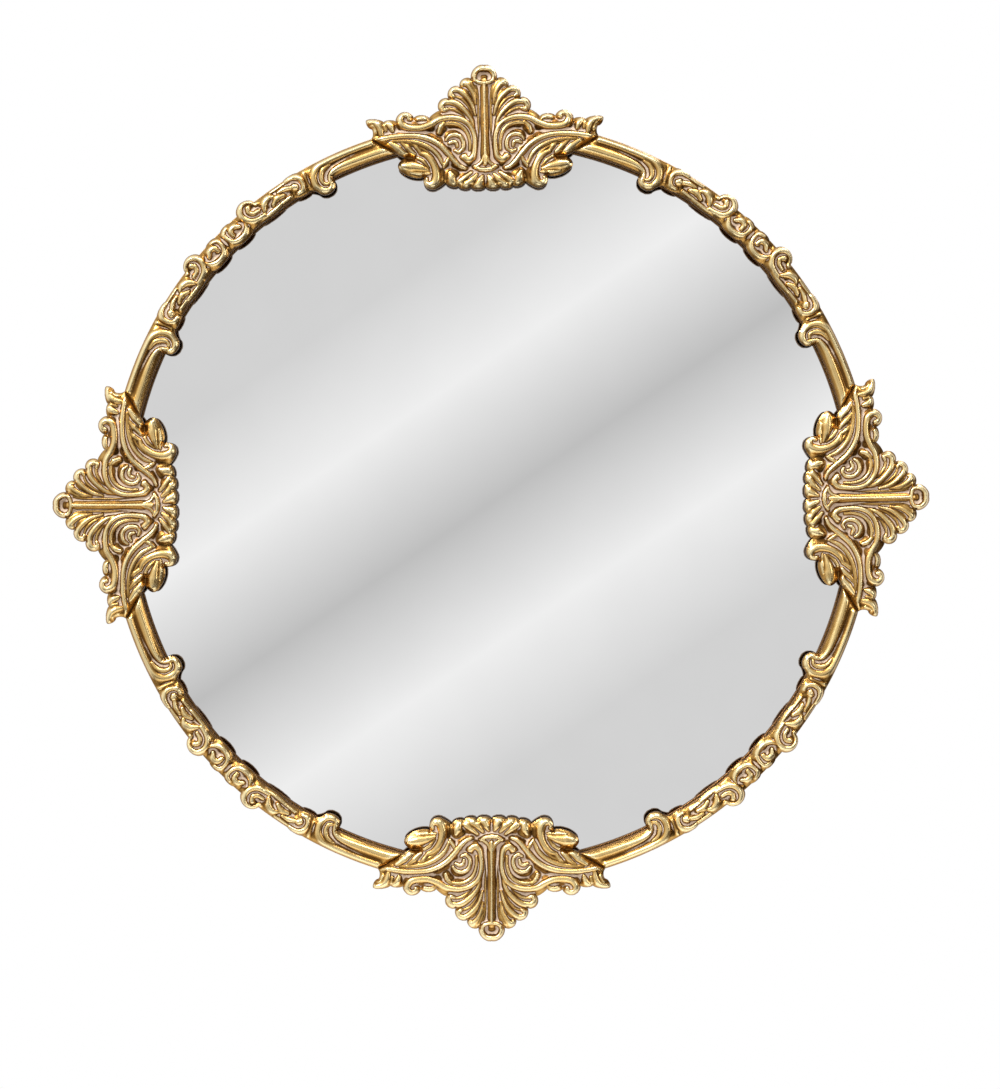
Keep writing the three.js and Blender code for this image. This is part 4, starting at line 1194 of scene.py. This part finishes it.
def strap(side, bar):
    """A strap of sheet folded double round the D-ring's bar."""
    low, high = box_mm(f"hanger_strap_{side}")
    inner = WIRE_RADIUS + BAR_PLAY
    outer = inner + STRAP_SHEET
    flat = 2 * STRAP_SHEET
    length = bar.z - low[2]
    base = low[1]
    # side view: (below the bar, out of the back), round the outside and back through the fold
    profile = [(length, base), (0.0, base)]
    for a in np.linspace(-90, 140, 24)[1:]:
        turn = math.radians(a)
        profile.append((-outer * math.cos(turn), base + outer + outer * math.sin(turn)))
    profile += [(outer * 2.2, base + flat), (length, base + flat)]
    turns = np.linspace(0, 2 * math.pi, 33)[:-1]
    hole = [(-inner * math.cos(a), base + outer + inner * math.sin(a)) for a in turns]
    work = bmesh.new()
    half = (high[0] - low[0]) / 2

    def ring_of(points):
        made = [work.verts.new((bar.x - half, y, bar.z - below)) for below, y in points]
        return [work.edges.new((made[i], made[(i + 1) % len(made)])) for i in range(len(made))]

    edges = ring_of(profile) + ring_of(hole)
    filled = bmesh.ops.triangle_fill(work, edges=edges, use_beauty=True)
    faces = [f for f in filled["geom"] if isinstance(f, bmesh.types.BMFace)]
    pushed = bmesh.ops.extrude_face_region(work, geom=faces)
    moved = [v for v in pushed["geom"] if isinstance(v, bmesh.types.BMVert)]
    bmesh.ops.translate(work, verts=moved, vec=(2 * half, 0, 0))
    bmesh.ops.recalc_face_normals(work, faces=work.faces)
    bmesh.ops.scale(work, verts=work.verts, vec=(MM, MM, MM))
    mesh = bpy.data.meshes.new(f"folded_strap_{side}")
    work.to_mesh(mesh)
    work.free()
    mesh.materials.append(ZINC)
    made = bpy.data.objects.new(mesh.name, mesh)
    bpy.context.scene.collection.objects.link(made)
    bevel = made.modifiers.new("edges", "BEVEL")
    bevel.width = 0.22 * MM
    bevel.segments = 2
    bevel.limit_method = "ANGLE"
    bevel.angle_limit = math.radians(50)
    mesh.polygons.foreach_set("use_smooth", [True] * len(mesh.polygons))
    sharpen(made, 40)
    place(made, "frame", "zinc_plate", f"hanger_strap_{side}")


def pads():
    for corner in ("top_right", "top_left", "bottom_left", "bottom_right"):
        low, high = box_mm(f"wall_pad_{corner}")
        radius = (high[2] - low[2]) / 2
        middle = ((low[0] + high[0]) / 2, (low[2] + high[2]) / 2)
        puck = [(0, -high[1]), (radius, -high[1]), (radius, -low[1]), (0, -low[1])]
        made = turned(f"felt_pad_{corner}", rounded(puck, PAD_EDGE), PAD_SIDES, FELT, middle)
        place(made, "frame", "felt", f"wall_pad_{corner}")


# ---------------------------------------------------------------- stage
FLOOR_RADIUS = 900
FLOOR_THICKNESS = 4
FLOOR_DROP = 0.76  # metres under the mirror's centre
FLOOR_FADE = (0.86, 1.16)  # metres from the mirror's centre at which the floor begins and ends to clear
BAND_TILT = math.radians(34)  # the pale bands in the glass rise this much to the right
BAND_REACH = 0.30
ROOM_LIGHT = (-0.69, 0.0, 0.72)  # towards the room's bright side


def floor():
    """A round pale floor under the hanging mirror, which fades out towards its rim."""
    material, tree, where = blank("pale_floor")
    shader = node(tree, "ShaderNodeBsdfPrincipled", {"Base Color": srgb("#F4F3F1"), "Roughness": 0.8})
    distance = node(tree, "ShaderNodeVectorMath", (where,), "Value", operation="LENGTH")
    clear = node(tree, "ShaderNodeBsdfTransparent")
    fade = node(tree, "ShaderNodeMapRange", (distance, *FLOOR_FADE), interpolation_type="SMOOTHSTEP")
    mixed = node(tree, "ShaderNodeMixShader", (fade, shader, clear))
    node(tree, "ShaderNodeOutputMaterial", {"Surface": mixed})
    disc = [(0, 0), (FLOOR_RADIUS, 0), (FLOOR_RADIUS, FLOOR_THICKNESS), (0, FLOOR_THICKNESS)]
    made = turned("pale_floor", disc, 96, material)
    made.data.transform(Matrix.Rotation(math.pi / 2, 4, "X"))
    made.data.transform(Matrix.Translation((0, 0, -FLOOR_DROP)))


def surroundings():
    """White behind the mirror, and in front of it a grey room with pale slanting bands, which the glass
    shows."""
    world = bpy.data.worlds.new("studio")
    bpy.context.scene.world = world
    world.use_nodes = True
    tree = world.node_tree
    tree.nodes.clear()
    ray = node(tree, "ShaderNodeTexCoord", out="Generated")
    backward = node(tree, "ShaderNodeSeparateXYZ", (ray,), "Y")

    # straight ahead of the glass: the bands
    slant = (-math.sin(BAND_TILT), 0.0, math.cos(BAND_TILT))
    across = node(tree, "ShaderNodeVectorMath", (ray, slant), "Value", operation="DOT_PRODUCT")
    spread = node(tree, "ShaderNodeMath", (across,), operation="ABSOLUTE")
    spread = node(tree, "ShaderNodeMapRange", (spread, 0.0, BAND_REACH))
    greys = [(0.0, "#C4C4C4"), (0.40, "#F6F6F6"), (0.78, "#D8D8D8"), (1.0, "#D8D8D8")]
    bands = node(tree, "ShaderNodeValToRGB", (spread,), stops=greys)

    # away from straight ahead: bright overhead and to the left, dim underfoot and to the right
    lit = node(tree, "ShaderNodeVectorMath", (ray, ROOM_LIGHT), "Value", operation="DOT_PRODUCT")
    lit = node(tree, "ShaderNodeMapRange", (lit, -1.0, 1.0))
    dim = [(0.0, "#5A5046"), (0.3, "#40362C"), (0.48, "#7A6F62")]
    walls = dim + [(0.6, "#C4BDB2"), (0.78, "#FFFFFF"), (1.0, "#F4F4F4")]
    room = node(tree, "ShaderNodeValToRGB", (lit,), stops=walls)

    ahead = node(tree, "ShaderNodeMapRange", (backward, -0.84, -0.93), interpolation_type="SMOOTHSTEP")
    front = {"Factor": ahead, MIX_FIRST: room, MIX_SECOND: bands}
    seen = node(tree, "ShaderNodeMix", front, MIXED, data_type="RGBA")
    behind = node(tree, "ShaderNodeMapRange", (backward, 0.4, 0.75), interpolation_type="SMOOTHSTEP")
    backed = {"Factor": behind, MIX_FIRST: seen, MIX_SECOND: srgb("#FFFFFF")}
    seen = node(tree, "ShaderNodeMix", backed, MIXED, data_type="RGBA")
    light = node(tree, "ShaderNodeBackground", (seen, 1.0))
    white = node(tree, "ShaderNodeBackground", (srgb("#FFFFFF"), 1.0))
    camera_ray = node(tree, "ShaderNodeLightPath", out="Is Camera Ray")
    both = node(tree, "ShaderNodeMixShader", (camera_ray, light, white))
    node(tree, "ShaderNodeOutputWorld", {"Surface": both})


def lamp(name, at, size, power):
    """A soft rectangular lamp at a point, turned towards the mirror's centre."""
    light = bpy.data.lights.new(name, "AREA")
    light.shape = "RECTANGLE"
    light.size, light.size_y = size
    light.energy = power
    made = bpy.data.objects.new(name, light)
    made.location = at
    made.rotation_euler = (-Vector(at)).to_track_quat("-Z", "Y").to_euler()
    bpy.context.scene.collection.objects.link(made)


def lamps():
    lamp("key_softbox", (-1.5, -1.5, 1.9), (0.9, 0.6), 54)
    lamp("top_strip", (0.5, -0.7, 2.1), (1.6, 0.3), 20)
    lamp("right_fill", (2.0, -1.3, 0.3), (0.5, 1.4), 10)
    lamp("back_fill", (0.6, 2.2, 1.2), (1.2, 1.2), 26)


# ---------------------------------------------------------------- camera
PHOTO = (1000, 1089)  # the photograph's width and height, in pixels
PHOTO_SCALE = 0.831  # millimetres to one pixel, in the plane of the ring
MIRROR_CENTRE = (491.0, 503.0)  # the ring's centre in the photograph
CAMERA_DISTANCE = 2.8
SENSOR = 36.0


def camera():
    data = bpy.data.cameras.new("camera")
    made = bpy.data.objects.new("camera", data)
    bpy.context.scene.collection.objects.link(made)
    bpy.context.scene.camera = made
    made.location = (0, -(CAMERA_DISTANCE + RING_FRONT * MM), 0)
    made.rotation_euler = (math.pi / 2, 0, 0)
    data.sensor_width = SENSOR
    data.lens = SENSOR * CAMERA_DISTANCE / (PHOTO[1] * PHOTO_SCALE * MM)
    data.shift_x = (PHOTO[0] / 2 - MIRROR_CENTRE[0]) / PHOTO[1]
    data.shift_y = -(PHOTO[1] / 2 - MIRROR_CENTRE[1]) / PHOTO[1]
    data.clip_start = 0.05
    data.clip_end = 50


# ---------------------------------------------------------------- assembly
cartouches()
ring_mouldings()
ring_and_glass()
screws("panel_screws", [f"panel_screw_{i}" for i in range(1, 9)], "brassed_screw", BRASS)
hanger_screws = [f"hanger_screw_{side}_{i}" for side in ("left", "right") for i in (1, 2)]
screws("hanger_screws", hanger_screws, "zinc_plate", ZINC)
hangers()
pads()
floor()
surroundings()
lamps()
camera()
bpy.context.scene.view_settings.view_transform = "Standard"
